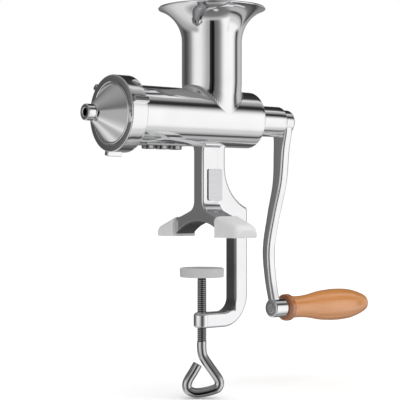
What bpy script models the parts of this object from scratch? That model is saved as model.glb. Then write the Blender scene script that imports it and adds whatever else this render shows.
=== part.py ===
"""A hand-cranked auger juicer that clamps to a table edge, modelled as separate pieces.

Lengths are in metres. +X runs along the barrel towards the crank, +Z is up, and the
origin lies on the clamp screw's axis, in the plane of the table top.
"""

import math

import bmesh
import bpy
from mathutils import Matrix

MM = 0.001
GAP = 0.3 * MM  # clearance between two pieces that meet

# Barrel, hopper and bearing boss
AXIS_Z = 120.6 * MM  # height of the barrel's axis above the table top
BARREL_R = 29.0 * MM
BARREL_BORE_R = 26.3 * MM
BARREL_REAR_X = 61.2 * MM
BARREL_FRONT_X = -104.0 * MM
REAR_WALL = 4.2 * MM
THREAD_R = 33.6 * MM
THREAD_REAR_X = -94.0 * MM
BOSS_R = 16.0 * MM
BOSS_END_X = 103.4 * MM
BOSS_BORE_R = 13.3 * MM
HOPPER_X = 13.0 * MM
HOPPER_R = 30.6 * MM
HOPPER_WALL = 2.0 * MM
HOPPER_FLARE_Z = 198.3 * MM
HOPPER_FLARE_R = 35.5 * MM
HOPPER_FLARE_SWEEP = math.radians(71)
HOPPER_FOOT_Z = AXIS_Z + 7.0 * MM
DRAIN_XS = (-66.6 * MM, -50.2 * MM, -33.8 * MM)
DRAIN_HALF_X = 5.2 * MM
DRAIN_HALF_Y = 3.6 * MM
DRAIN_RIM = 2.0 * MM
DRAIN_LOW_Z = 87.7 * MM
DRAIN_STRIP_HALF_Y = 8.0 * MM

# Lock ring, end cap, nozzle and seal
RING_R = 37.4 * MM
RING_BORE_R = THREAD_R + 0.4 * MM
RING_LIP_R = 30.4 * MM
RING_REAR_X = -93.0 * MM
RING_FRONT_X = -111.1 * MM
RING_LIP_X = -108.2 * MM
LUG_WIDTH = 5.8 * MM
LUG_PROUD = 4.3 * MM
LUG_ANGLES = tuple(math.radians(a) for a in (17, 137, 257))
SEAL_REAR_X = BARREL_FRONT_X - GAP
SEAL_FRONT_X = -105.8 * MM
CAP_REAR_X = SEAL_FRONT_X - GAP
CAP_STEP_X = RING_LIP_X + GAP
CAP_FLANGE_R = 33.2 * MM
CAP_BEAD_R = 29.9 * MM
CAP_TIP_X = -132.4 * MM
CAP_TIP_R = 8.6 * MM
NOZZLE_R = 8.0 * MM
NOZZLE_END_X = -141.0 * MM
NOZZLE_BORE_R = 3.9 * MM
NOZZLE_STEM_R = 5.9 * MM
NOZZLE_STEM_X = -126.0 * MM

# Inside the barrel
STRAINER_R = 25.9 * MM
STRAINER_WALL = 0.8 * MM
STRAINER_REAR_X = -20.0 * MM
BUSH_FLANGE_R = 18.8 * MM
BUSH_FLANGE = 3.0 * MM
BUSH_BORE_R = 6.6 * MM
SHAFT_R = 6.2 * MM
SHAFT_SQUARE = 8.4 * MM
SHAFT_END_X = 110.0 * MM
FLIGHT_R = 24.6 * MM
FLIGHT_PITCH = 27.0 * MM
FLIGHT_TURNS = 5.25
FLIGHT_FRONT_X = -99.0 * MM
FLIGHT_THICK = 3.0 * MM

# Crank
HUB_R = 12.9 * MM
HUB_FACE_X = 103.9 * MM
HUB_END_X = 117.4 * MM
ARM_X = 109.4 * MM  # middle of the arm's thickness
ARM_HALF = 5.2 * MM
ARM_EDGE = 2.6 * MM
ARM_STATIONS = (  # height, sideways offset and width of the arm
    (116.0 * MM, 0.0 * MM, 23.0 * MM),
    (108.0 * MM, 0.0 * MM, 21.4 * MM),
    (100.0 * MM, 0.6 * MM, 18.8 * MM),
    (88.0 * MM, 1.8 * MM, 16.8 * MM),
    (56.0 * MM, 4.6 * MM, 14.4 * MM),
    (22.0 * MM, 14.2 * MM, 12.8 * MM),
    (-14.0 * MM, 22.2 * MM, 11.6 * MM),
    (-46.0 * MM, 19.6 * MM, 10.6 * MM),
    (-74.0 * MM, 12.8 * MM, 10.0 * MM),
)
GRIP_Y = 12.4 * MM
GRIP_Z = -78.3 * MM
EYE_R = 9.9 * MM
EYE_END_X = 120.6 * MM
BOLT_R = 3.2 * MM
WASHER_END_X = 122.0 * MM
GRIP_START_X = 122.3 * MM
GRIP_END_X = 244.6 * MM
GRIP_PROFILE = (  # position along the grip and radius, behind its collar
    (129.4 * MM, 12.4 * MM),
    (138.0 * MM, 11.6 * MM),
    (150.0 * MM, 11.7 * MM),
    (160.0 * MM, 12.6 * MM),
    (170.0 * MM, 14.4 * MM),
    (180.0 * MM, 16.2 * MM),
    (190.0 * MM, 17.1 * MM),
    (200.0 * MM, 17.4 * MM),
    (212.0 * MM, 16.4 * MM),
    (222.0 * MM, 14.9 * MM),
    (231.0 * MM, 12.3 * MM),
    (238.0 * MM, 9.2 * MM),
    (242.8 * MM, 6.2 * MM),
)
COLLAR_R = 14.4 * MM
COLLAR_END_X = 128.6 * MM
HUB_SCREW_R = 6.6 * MM

# Clamp frame
PLATE_HALF = 8.3 * MM
PLATE_EDGE = 3.0 * MM
LEG_FRONT_X = -4.6 * MM
LEG_REAR_X = 24.75 * MM
LEG_CURVE_R = 45.4 * MM
LEG_CURVE_Z = 72.0 * MM
SHOULDER_X = 53.6 * MM
SPINE_REAR_X = 54.6 * MM
SPINE_FRONT_X = 37.2 * MM
THROAT_TOP_Z = 18.0 * MM
THROAT_R = 10.0 * MM
JAW_TOP_Z = -76.7 * MM
JAW_LOW_Z = -92.2 * MM
JAW_INNER_R = 14.0 * MM
JAW_OUTER_RX = 31.0 * MM
JAW_OUTER_RZ = 34.0 * MM
LIMB_FRONT_X = LEG_FRONT_X - 0.15 * MM
LIMB_REAR_X = 18.2 * MM
ARCH_R = 55.6 * MM
ARCH_Z = 15.7 * MM
LIMB_FILLET_R = 11.0 * MM
NEAR_SHOULDER = (30.3 * MM, 20.8 * MM)  # sideways place and height where a limb steps in
FAR_SHOULDER = (37.9 * MM, 19.3 * MM)
LIMB_KNEE = (29.7 * MM, 21.3 * MM)
TENON_Z = 18.0 * MM  # height of the tenons at the near limb's shoulder
TENON_END_Y = 61.5 * MM
TENON_END_Z = 8.2 * MM
TENON_LOW_Z = 2.9 * MM

# Foot caps, pad and screw
CAP_MOUTH_Y = 30.9 * MM
FAR_MOUTH_Y = 38.5 * MM  # the far cap is the shorter one
CAP_TOE_Y = 66.0 * MM
CAP_MIDDLE_X = 6.5 * MM
CAP_MOUTH = (15.1 * MM, 23.2 * MM)  # half width and height
CAP_TOE = (14.2 * MM, 11.0 * MM)
CAP_ROUND = 7.0 * MM
PAD_R = 22.5 * MM
PAD_TOP_Z = -31.0 * MM
PAD_LOW_Z = -40.7 * MM
PAD_POCKET_R = 16.0 * MM
PAD_PLATE_R = 15.7 * MM
SCREW_R = 4.9 * MM
SPIGOT_R = 2.8 * MM
LOOP_TURN = math.radians(-38)
LOOP_ROUTE = (  # sideways offset and height of the rod's bent end
    (0.0 * MM, -111.8 * MM),
    (1.1 * MM, -120.0 * MM),
    (5.8 * MM, -128.0 * MM),
    (12.0 * MM, -136.8 * MM),
    (16.8 * MM, -144.1 * MM),
    (17.8 * MM, -149.0 * MM),
    (15.6 * MM, -153.2 * MM),
    (10.9 * MM, -155.2 * MM),
    (3.6 * MM, -157.1 * MM),
    (-4.9 * MM, -158.2 * MM),
    (-10.4 * MM, -157.2 * MM),
    (-14.2 * MM, -154.2 * MM),
    (-15.0 * MM, -149.6 * MM),
    (-13.2 * MM, -144.2 * MM),
    (-8.5 * MM, -136.6 * MM),
    (-4.2 * MM, -129.0 * MM),
)
PLATE_LABEL = (1.6 * MM, 19.4 * MM, 36.8 * MM, 68.9 * MM)  # low x, high x, low z, high z
LABEL_THICK = 0.6 * MM

ROUND = 32  # sides of a large turned piece
SMALL = 16  # sides of a small one
ALONG_X = (0.0, math.radians(90), 0.0)  # turns a piece's own Z onto world +X

STEEL = ((0.78, 0.78, 0.78), 0.16, 1.0)
DARK_STEEL = ((0.55, 0.55, 0.56), 0.3, 1.0)
WHITE = ((0.86, 0.87, 0.87), 0.42, 0.0)
WOOD = ((0.74, 0.42, 0.18), 0.35, 0.0)


def clear_scene():
    for obj in list(bpy.data.objects):
        bpy.data.objects.remove(obj, do_unlink=True)
    for name in ("hand_juicer", "cutters"):
        bpy.context.scene.collection.children.link(bpy.data.collections.new(name))


def finish(obj, name, look, group="hand_juicer"):
    """Puts an object in its collection, with a name and a material of its own."""
    obj.name = name
    obj.data.name = name
    bpy.data.collections[group].objects.link(obj)
    if look:
        colour, roughness, metallic = look
        paint = bpy.data.materials.new(name)
        paint.use_nodes = True
        shader = paint.node_tree.nodes["Principled BSDF"]
        shader.inputs["Base Color"].default_value = (*colour, 1.0)
        shader.inputs["Roughness"].default_value = roughness
        shader.inputs["Metallic"].default_value = metallic
        obj.data.materials.append(paint)
    else:
        obj.hide_render = True
        obj.display_type = "WIRE"
    return obj


def arc(centre_u, centre_v, radius, start, end, count, radius_v=None):
    """Points of an arc, or of an ellipse's, from one angle to another in degrees."""
    tall = radius if radius_v is None else radius_v
    angles = [math.radians(start + (end - start) * i / count) for i in range(count + 1)]
    return [(centre_u + radius * math.cos(a), centre_v + tall * math.sin(a)) for a in angles]


def smooth(stations, per_span):
    """Points on a smooth curve through the stations, whose ends it keeps."""
    ends = [tuple(2 * a - b for a, b in zip(stations[i], stations[j])) for i, j in ((0, 1), (-1, -2))]
    knots = [ends[0], *stations, ends[1]]
    points = []
    for span in range(1, len(knots) - 2):
        for step in range(per_span):
            t = step / per_span
            weights = (
                -0.5 * t + t**2 - 0.5 * t**3,
                1 - 2.5 * t**2 + 1.5 * t**3,
                0.5 * t + 2 * t**2 - 1.5 * t**3,
                -0.5 * t**2 + 0.5 * t**3,
            )
            near = knots[span - 1 : span + 3]
            points.append(tuple(sum(w * k[i] for w, k in zip(weights, near)) for i in range(len(near[0]))))
    return [*points, tuple(stations[-1])]


def turned(name, outline, look, at=(0.0, 0.0, AXIS_Z), turn=ALONG_X, sides=ROUND, closed=True):
    """A turned piece: its outline is (radius, place along the axis), down the outer side."""
    mesh = bpy.data.meshes.new(name)
    count = len(outline)
    links = [(i, (i + 1) % count) for i in range(count if closed else count - 1)]
    mesh.from_pydata([(radius, 0.0, along) for radius, along in outline], links, [])
    obj = bpy.data.objects.new(name, mesh)
    obj.location = at
    obj.rotation_euler = turn
    screw = obj.modifiers.new("turn", "SCREW")
    screw.steps = sides
    screw.render_steps = sides
    screw.use_merge_vertices = True
    screw.merge_threshold = 0.00001
    screw.use_smooth_shade = True
    return finish(obj, name, look, "hand_juicer" if look else "cutters")


def block(name, low, high, look=None, group="cutters"):
    """A box between two corners."""
    mesh = bpy.data.meshes.new(name)
    solid = bmesh.new()
    size = [h - l for l, h in zip(low, high)]
    middle = [(l + h) / 2 for l, h in zip(low, high)]
    place = Matrix.Translation(middle) @ Matrix.Diagonal((*size, 1.0))
    bmesh.ops.create_cube(solid, size=1.0, matrix=place)
    solid.to_mesh(mesh)
    solid.free()
    return finish(bpy.data.objects.new(name, mesh), name, look, group)


def rods(name, places, radius, length, sides=SMALL, squash=1.0):
    """One hidden shape made of a cylinder at each place, each along its place's own Z."""
    mesh = bpy.data.meshes.new(name)
    solid = bmesh.new()
    for place in places:
        shape = place @ Matrix.Diagonal((1.0, squash, 1.0, 1.0))
        bmesh.ops.create_cone(
            solid,
            cap_ends=True,
            segments=sides,
            radius1=radius,
            radius2=radius,
            depth=length,
            matrix=shape,
        )
    solid.to_mesh(mesh)
    solid.free()
    return finish(bpy.data.objects.new(name, mesh), name, None, "cutters")


def lying_x(x, y, z):
    """A place whose own Z points along world +X."""
    return Matrix.Translation((x, y, z)) @ Matrix.Rotation(math.radians(90), 4, "Y")


def plate(name, outline, half_thick, edge, look, place):
    """A flat outline with rounded edges; its own Z is the thickness."""
    curve = bpy.data.curves.new(name, "CURVE")
    curve.dimensions = "2D"
    curve.fill_mode = "BOTH"
    curve.extrude = half_thick - edge
    curve.bevel_depth = edge
    curve.bevel_resolution = 1
    curve.offset = -edge
    spline = curve.splines.new("POLY")
    spline.points.add(len(outline) - 1)
    for point, (u, v) in zip(spline.points, outline):
        point.co = (u, v, 0.0, 1.0)
    spline.use_cyclic_u = True
    return as_mesh(bpy.data.objects.new(name, curve), name, look, place)


def as_mesh(drawn, name, look, place):
    """Turns a curve object into a closed mesh object at a place, and removes the curve."""
    scene = bpy.context.scene.collection
    scene.objects.link(drawn)
    drawn.matrix_world = place
    bpy.context.view_layer.update()
    mesh = bpy.data.meshes.new_from_object(drawn.evaluated_get(bpy.context.evaluated_depsgraph_get()))
    solid = bmesh.new()
    solid.from_mesh(mesh)
    bmesh.ops.remove_doubles(solid, verts=solid.verts, dist=0.01 * MM)
    bmesh.ops.recalc_face_normals(solid, faces=solid.faces)
    solid.to_mesh(mesh)
    solid.free()
    mesh.materials.clear()
    obj = bpy.data.objects.new(name, mesh)
    obj.matrix_world = drawn.matrix_world
    bpy.data.objects.remove(drawn, do_unlink=True)
    return finish(obj, name, look, "hand_juicer" if look else "cutters")


def combine(obj, *others, operation="DIFFERENCE"):
    """Adds one Boolean for each other shape."""
    for other in others:
        boolean = obj.modifiers.new(other.name, "BOOLEAN")
        boolean.operation = operation
        boolean.object = other
    return obj


def barrel_clearance(name):
    """The barrel's outside, with a gap, for the pieces that sit on it."""
    return rods(name, [lying_x(-20 * MM, 0.0, AXIS_Z)], BARREL_R + GAP, 240 * MM, ROUND)


def make_barrel():
    outline = [
        (BOSS_BORE_R, BOSS_END_X),
        *arc(BOSS_R - 2 * MM, BOSS_END_X - 2 * MM, 2 * MM, 90, 0, 3),
        (BOSS_R, BARREL_REAR_X + 1.5 * MM),
        (BOSS_R + 1.5 * MM, BARREL_REAR_X),
        *arc(BARREL_R - 1.4 * MM, BARREL_REAR_X - 1.4 * MM, 1.4 * MM, 90, 0, 2),
        (BARREL_R, THREAD_REAR_X),
        (THREAD_R, THREAD_REAR_X),
        (THREAD_R, BARREL_FRONT_X + 0.8 * MM),
        (THREAD_R - 0.8 * MM, BARREL_FRONT_X),
        (BARREL_BORE_R, BARREL_FRONT_X),
        (BARREL_BORE_R, BARREL_REAR_X - REAR_WALL),
        (BOSS_BORE_R, BARREL_REAR_X - REAR_WALL),
    ]
    barrel = turned("barrel", outline, STEEL)
    top = Matrix.Translation((HOPPER_X, 0.0, AXIS_Z + BARREL_R))
    throat = rods("barrel_throat", [top], HOPPER_R - HOPPER_WALL - 2.4 * MM, 2 * BARREL_R, ROUND)
    spots = [Matrix.Translation((x, 0.0, AXIS_Z - BARREL_R)) for x in DRAIN_XS]
    drains = rods("barrel_drains", spots, DRAIN_HALF_X, 12 * MM, 16, DRAIN_HALF_Y / DRAIN_HALF_X)
    return combine(barrel, throat, drains)


def make_hopper():
    centre_r = HOPPER_R + HOPPER_FLARE_R
    sweep = math.degrees(HOPPER_FLARE_SWEEP)
    outline = [
        *arc(centre_r, HOPPER_FLARE_Z, HOPPER_FLARE_R, 180 - sweep, 180, 6),
        (HOPPER_R, HOPPER_FOOT_Z),
    ]
    hopper = turned("hopper", outline, STEEL, (HOPPER_X, 0.0, 0.0), (0.0, 0.0, 0.0), closed=False)
    shell = hopper.modifiers.new("wall", "SOLIDIFY")
    shell.thickness = HOPPER_WALL
    shell.offset = -1.0
    shell.use_even_offset = True
    return combine(hopper, barrel_clearance("hopper_saddle"))


def make_juice_outlet():
    """A saddle strip under the barrel with an oval spout round each drain hole."""
    low_x = DRAIN_XS[0] - DRAIN_HALF_X - DRAIN_RIM - 1 * MM
    high_x = DRAIN_XS[-1] + DRAIN_HALF_X + DRAIN_RIM + 1 * MM
    half_y = DRAIN_STRIP_HALF_Y
    strip_low = AXIS_Z - BARREL_R - GAP - 0.6 * MM
    strip = block(
        "juice_outlet",
        (low_x, -half_y, strip_low),
        (high_x, half_y, AXIS_Z - BARREL_R + 4 * MM),
        STEEL,
        "hand_juicer",
    )
    spots = [Matrix.Translation((x, 0.0, DRAIN_LOW_Z + 4 * MM)) for x in DRAIN_XS]
    rim_x = DRAIN_HALF_X + DRAIN_RIM
    rim_y = DRAIN_HALF_Y + DRAIN_RIM
    spouts = rods("outlet_spouts", spots, rim_x, 8 * MM, 16, rim_y / rim_x)
    holes = rods("outlet_holes", spots, DRAIN_HALF_X, 30 * MM, 16, DRAIN_HALF_Y / DRAIN_HALF_X)
    combine(strip, spouts, operation="UNION")
    return combine(strip, barrel_clearance("outlet_saddle"), holes)


def make_lock_ring():
    outline = [
        (RING_BORE_R, RING_REAR_X),
        *arc(RING_R - 1 * MM, RING_REAR_X - 1 * MM, 1 * MM, 90, 0, 2),
        *arc(RING_R - 1.2 * MM, RING_FRONT_X + 1.2 * MM, 1.2 * MM, 0, -90, 3),
        (RING_LIP_R, RING_FRONT_X),
        (RING_LIP_R, RING_LIP_X),
        (RING_BORE_R, RING_LIP_X),
    ]
    ring = turned("lock_ring", outline, STEEL)
    for number, angle in enumerate(LUG_ANGLES):
        lug = block(
            f"ring_lug_{number}",
            (RING_FRONT_X + 0.5 * MM, -LUG_WIDTH / 2, RING_R - 2 * MM),
            (RING_REAR_X - 0.5 * MM, LUG_WIDTH / 2, RING_R + LUG_PROUD),
        )
        turn = Matrix.Rotation(math.radians(90) - angle, 4, "X")
        lug.matrix_world = Matrix.Translation((0.0, 0.0, AXIS_Z)) @ turn
        combine(ring, lug, operation="UNION")
    return ring


def make_end_cap():
    wall = 3.0 * MM
    outline = [
        (CAP_FLANGE_R, CAP_REAR_X),
        (CAP_FLANGE_R, CAP_STEP_X),
        (CAP_BEAD_R, CAP_STEP_X),
        *arc(CAP_BEAD_R - 1 * MM, RING_FRONT_X + 0.6 * MM, 1 * MM, 0, -120, 4),
        (CAP_TIP_R, CAP_TIP_X + 0.6 * MM),
        (CAP_TIP_R - 0.5 * MM, CAP_TIP_X),
        (NOZZLE_STEM_R + GAP, CAP_TIP_X),
        (NOZZLE_STEM_R + GAP, CAP_TIP_X + 2 * MM),
        (CAP_BEAD_R - wall - 1.2 * MM, CAP_STEP_X - 0.8 * MM),
        (CAP_BEAD_R - wall - 1.2 * MM, CAP_REAR_X),
    ]
    return turned("end_cap", outline, STEEL)


def make_pulp_nozzle():
    outline = [
        (NOZZLE_STEM_R, NOZZLE_STEM_X),
        (NOZZLE_STEM_R, CAP_TIP_X - GAP),
        (NOZZLE_R, CAP_TIP_X - GAP),
        *arc(NOZZLE_R - 1 * MM, NOZZLE_END_X + 1 * MM, 1 * MM, 0, -90, 2),
        (NOZZLE_BORE_R + 0.8 * MM, NOZZLE_END_X),
        (NOZZLE_BORE_R, NOZZLE_END_X + 0.8 * MM),
        (NOZZLE_BORE_R, NOZZLE_STEM_X),
    ]
    return turned("pulp_nozzle", outline, STEEL, sides=SMALL)


def make_rings():
    """The flat seal, the thrust washer, the crank's washer, and the screw's clip."""
    on_barrel = (0.0, 0.0, AXIS_Z)
    on_bolt = (0.0, GRIP_Y, GRIP_Z)
    on_screw = (0.0, 0.0, 0.0)
    for name, low, high, bore, rim, look, at in (
        ("seal_ring", SEAL_FRONT_X, SEAL_REAR_X, BARREL_BORE_R + GAP, 33.0 * MM, WHITE, on_barrel),
        ("thrust_washer", 52.1 * MM, 53.4 * MM, BUSH_BORE_R, 12.0 * MM, DARK_STEEL, on_barrel),
        ("grip_washer", EYE_END_X + GAP, WASHER_END_X, 3.6 * MM, 8.2 * MM, STEEL, on_bolt),
        ("pad_plate", PAD_LOW_Z, -37.5 * MM, SPIGOT_R + GAP, PAD_PLATE_R, DARK_STEEL, on_screw),
        ("screw_clip", -37.2 * MM, -36.0 * MM, SPIGOT_R + GAP, 5.5 * MM, DARK_STEEL, on_screw),
    ):
        outline = [(bore, high), (rim, high), (rim, low), (bore, low)]
        turn = (0.0, 0.0, 0.0) if at == on_screw else ALONG_X
        sides = ROUND if rim > 20 * MM else SMALL
        turned(name, outline, look, at, turn, sides)


def make_strainer():
    outline = [
        (STRAINER_R - STRAINER_WALL, STRAINER_REAR_X),
        (STRAINER_R, STRAINER_REAR_X),
        (STRAINER_R, BARREL_FRONT_X + GAP),
        (STRAINER_R - STRAINER_WALL, BARREL_FRONT_X + GAP),
    ]
    strainer = turned("strainer", outline, DARK_STEEL)
    centre = Matrix.Translation((0.0, 0.0, AXIS_Z))
    lift = Matrix.Translation((0.0, 0.0, STRAINER_R))
    spots = []
    for row in range(3):
        tilt = Matrix.Rotation(math.radians(156 + 24 * row), 4, "X")
        for column in range(5):
            x = DRAIN_XS[0] + column * 8.2 * MM
            spots.append(centre @ Matrix.Translation((x, 0.0, 0.0)) @ tilt @ lift)
    return combine(strainer, rods("strainer_holes", spots, 2.2 * MM, 6 * MM, 6))


def make_rear_bush():
    rear_wall_x = BARREL_REAR_X - REAR_WALL
    outline = [
        (BUSH_BORE_R, BOSS_END_X - 0.5 * MM),
        (BOSS_BORE_R - GAP, BOSS_END_X - 0.5 * MM),
        (BOSS_BORE_R - GAP, rear_wall_x - GAP),
        (BUSH_FLANGE_R, rear_wall_x - GAP),
        (BUSH_FLANGE_R, rear_wall_x - GAP - BUSH_FLANGE),
        (BUSH_BORE_R, rear_wall_x - GAP - BUSH_FLANGE),
    ]
    return turned("rear_bush", outline, WHITE, sides=SMALL)


def make_auger():
    """A shaft with a screw flight, a squared end for the crank and a tapped hole in it."""
    collar_x = 51.8 * MM
    outline = [
        (0.0, BOSS_END_X),
        (SHAFT_R, BOSS_END_X),
        (SHAFT_R, collar_x),
        (12.0 * MM, collar_x),
        (12.0 * MM, collar_x - 3.2 * MM),
        (10.0 * MM, collar_x - 6 * MM),
        (11.0 * MM, -30.0 * MM),
        (16.0 * MM, -96.0 * MM),
        (14.5 * MM, -103.0 * MM),
        (4.5 * MM, -121.0 * MM),
        (2.5 * MM, -122.5 * MM),
        (0.0, -122.5 * MM),
    ]
    auger = turned("auger", outline, DARK_STEEL, sides=SMALL, closed=False)
    half = SHAFT_SQUARE / 2
    square = block(
        "auger_square",
        (BOSS_END_X - 6 * MM, -half, AXIS_Z - half),
        (SHAFT_END_X, half, AXIS_Z + half),
    )
    combine(auger, make_flight(), square, operation="UNION")
    return combine(auger, rods("auger_tapping", [lying_x(SHAFT_END_X, 0.0, AXIS_Z)], 2.8 * MM, 28 * MM, 12))


def make_flight():
    """The auger's screw flight, swept round the shaft's axis, with its two ends closed."""
    half = FLIGHT_THICK / 2
    profile = [(6 * MM, half), (FLIGHT_R, half * 0.7), (FLIGHT_R, -half * 0.7), (6 * MM, -half)]
    mesh = bpy.data.meshes.new("flight")
    mesh.from_pydata([(r, 0.0, z) for r, z in profile], [(0, 1), (1, 2), (2, 3), (3, 0)], [])
    drawn = bpy.data.objects.new("flight", mesh)
    sweep = drawn.modifiers.new("sweep", "SCREW")
    sweep.angle = math.tau * FLIGHT_TURNS
    sweep.screw_offset = FLIGHT_PITCH * FLIGHT_TURNS
    sweep.steps = int(16 * FLIGHT_TURNS)
    sweep.render_steps = sweep.steps
    bpy.context.scene.collection.objects.link(drawn)
    bpy.context.view_layer.update()
    swept = bpy.data.meshes.new_from_object(drawn.evaluated_get(bpy.context.evaluated_depsgraph_get()))
    solid = bmesh.new()
    solid.from_mesh(swept)
    bmesh.ops.holes_fill(solid, edges=[e for e in solid.edges if e.is_boundary], sides=4)
    bmesh.ops.recalc_face_normals(solid, faces=solid.faces)
    solid.to_mesh(swept)
    solid.free()
    bpy.data.objects.remove(drawn, do_unlink=True)
    flight = bpy.data.objects.new("flight", swept)
    flight.location = (FLIGHT_FRONT_X, 0.0, AXIS_Z)
    flight.rotation_euler = ALONG_X
    return finish(flight, "flight", None, "cutters")


def make_crank_arm():
    """The hub, the S-shaped arm and the eye that takes the grip's bolt, in one piece."""
    stations = smooth(ARM_STATIONS, 2)
    side = [(y + width / 2, z) for z, y, width in stations]
    other = [(y - width / 2, z) for z, y, width in stations]
    upright = Matrix(((0, 0, 1, ARM_X), (1, 0, 0, 0), (0, 1, 0, 0), (0, 0, 0, 1)))
    arm = plate("crank_arm", [*other, *reversed(side)], ARM_HALF, ARM_EDGE, STEEL, upright)
    combine(arm, rods("arm_relief", [lying_x(ARM_X, 0.0, AXIS_Z)], HUB_R - 3 * MM, 20 * MM))
    hub = turned(
        "crank_hub",
        [
            (HUB_SCREW_R + GAP, HUB_END_X),
            *arc(HUB_R - 3.5 * MM, HUB_END_X - 3.5 * MM, 3.5 * MM, 90, 0, 4),
            (HUB_R, HUB_FACE_X),
            (2.9 * MM, HUB_FACE_X),
            (2.9 * MM, HUB_END_X - 4.5 * MM),
            (HUB_SCREW_R + GAP, HUB_END_X - 4.5 * MM),
        ],
        None,
    )
    eye = turned(
        "crank_eye",
        [
            (0.0, EYE_END_X),
            (EYE_R - 0.8 * MM, EYE_END_X),
            (EYE_R, EYE_END_X - 0.8 * MM),
            *arc(EYE_R - 1.2 * MM, HUB_FACE_X + 1.2 * MM, 1.2 * MM, 0, -90, 2),
            (0.0, HUB_FACE_X),
        ],
        None,
        (0.0, GRIP_Y, GRIP_Z),
        closed=False,
        sides=SMALL,
    )
    combine(arm, hub, eye, operation="UNION")
    half = SHAFT_SQUARE / 2 + GAP
    socket = block(
        "hub_socket",
        (HUB_FACE_X - 5 * MM, -half, AXIS_Z - half),
        (SHAFT_END_X + GAP, half, AXIS_Z + half),
    )
    bore = rods("eye_bore", [lying_x(EYE_END_X, GRIP_Y, GRIP_Z)], BOLT_R + GAP, 50 * MM, 16)
    return combine(arm, socket, bore)


def make_hub_screw():
    head_x = HUB_END_X - 4.2 * MM
    outline = [
        (0.0, HUB_END_X - 0.3 * MM),
        (HUB_SCREW_R - 1 * MM, HUB_END_X - 0.5 * MM),
        (HUB_SCREW_R, HUB_END_X - 1.5 * MM),
        (HUB_SCREW_R, head_x),
        (2.5 * MM, head_x),
        (2.5 * MM, 97.0 * MM),
        (0.0, 97.0 * MM),
    ]
    return turned("hub_screw", outline, DARK_STEEL, sides=SMALL, closed=False)


def make_grip_bolt():
    """Riveted over at the crank's eye, with a round head sunk in the grip's end."""
    head_x = GRIP_END_X - 4.6 * MM
    outline = [
        (0.0, GRIP_END_X - 1.4 * MM),
        (3.4 * MM, GRIP_END_X - 1.7 * MM),
        (4.4 * MM, GRIP_END_X - 2.6 * MM),
        (4.4 * MM, head_x),
        (BOLT_R, head_x),
        (BOLT_R, HUB_FACE_X - GAP),
        (5.0 * MM, HUB_FACE_X - GAP),
        (4.6 * MM, HUB_FACE_X - 1.0 * MM),
        (2.0 * MM, HUB_FACE_X - 1.5 * MM),
        (0.0, HUB_FACE_X - 1.5 * MM),
    ]
    return turned("grip_bolt", outline, STEEL, (0.0, GRIP_Y, GRIP_Z), sides=16, closed=False)


def make_wooden_grip():
    """A turned handle with a collar, a neck and a swelling, bored for its bolt."""
    body = [(radius, x) for x, radius in reversed(GRIP_PROFILE)]
    pocket_x = GRIP_END_X - 4.9 * MM
    outline = [
        (4.8 * MM, GRIP_END_X),
        (5.1 * MM, GRIP_END_X),
        *body,
        (COLLAR_R - 0.9 * MM, COLLAR_END_X),
        (COLLAR_R, COLLAR_END_X - 1.4 * MM),
        (COLLAR_R, GRIP_START_X + 1.8 * MM),
        (COLLAR_R - 1.6 * MM, GRIP_START_X),
        (BOLT_R + GAP, GRIP_START_X),
        (BOLT_R + GAP, pocket_x),
        (4.8 * MM, pocket_x),
    ]
    return turned("wooden_grip", outline, WOOD, (0.0, GRIP_Y, GRIP_Z), sides=24)


def side_outline():
    """The clamp frame seen from the side: leg, shoulder, spine and lower jaw."""
    sweep_end = 180 + math.degrees(math.acos((LEG_CURVE_R + LEG_REAR_X - SHOULDER_X) / LEG_CURVE_R))
    return [
        (LEG_FRONT_X, AXIS_Z - 20 * MM),
        (LEG_FRONT_X, THROAT_TOP_Z),
        *arc(SPINE_FRONT_X - THROAT_R, THROAT_TOP_Z - THROAT_R, THROAT_R, 90, 0, 5),
        *arc(SPINE_FRONT_X - JAW_INNER_R, JAW_TOP_Z + JAW_INNER_R, JAW_INNER_R, 0, -90, 6),
        (0.0, JAW_TOP_Z),
        (0.0, JAW_LOW_Z),
        *arc(
            SPINE_REAR_X - JAW_OUTER_RX,
            JAW_LOW_Z + JAW_OUTER_RZ,
            JAW_OUTER_RX,
            -90,
            0,
            8,
            JAW_OUTER_RZ,
        ),
        (SPINE_REAR_X, 26.0 * MM),
        *arc(LEG_REAR_X + LEG_CURVE_R, LEG_CURVE_Z, LEG_CURVE_R, sweep_end, 180, 9),
        (LEG_REAR_X, AXIS_Z - 20 * MM),
    ]


def tenon_top(y):
    """Height of a tenon's sloping top at a sideways place."""
    share = (y - NEAR_SHOULDER[0]) / (TENON_END_Y - NEAR_SHOULDER[0])
    return TENON_Z + share * (TENON_END_Z - TENON_Z)


def limb_outline(knees, shoulder):
    """One limb from the leg's side down and out to its tenon's low corner."""
    y, z = shoulder
    fillet_y = PLATE_HALF + LIMB_FILLET_R
    return [
        (PLATE_HALF, 52.0 * MM),
        *arc(fillet_y, 36.6 * MM, LIMB_FILLET_R, 180, 250, 5),
        *knees,
        (y, z),
        (y, tenon_top(y)),
        (TENON_END_Y, TENON_END_Z),
        (TENON_END_Y, TENON_LOW_Z),
    ]


def front_outline():
    """The two limbs seen from the front: fillets at the leg, tenons for the caps, arch."""
    arch_centre = ARCH_Z - ARCH_R
    foot = math.degrees(math.asin((TENON_LOW_Z - arch_centre) / ARCH_R))
    far = limb_outline([LIMB_KNEE], FAR_SHOULDER)
    near = [(-y, z) for y, z in reversed(limb_outline([], NEAR_SHOULDER))]
    arch = arc(0.0, arch_centre, ARCH_R, foot, 180 - foot, 12)
    return [*far, *arch, *near]


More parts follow.
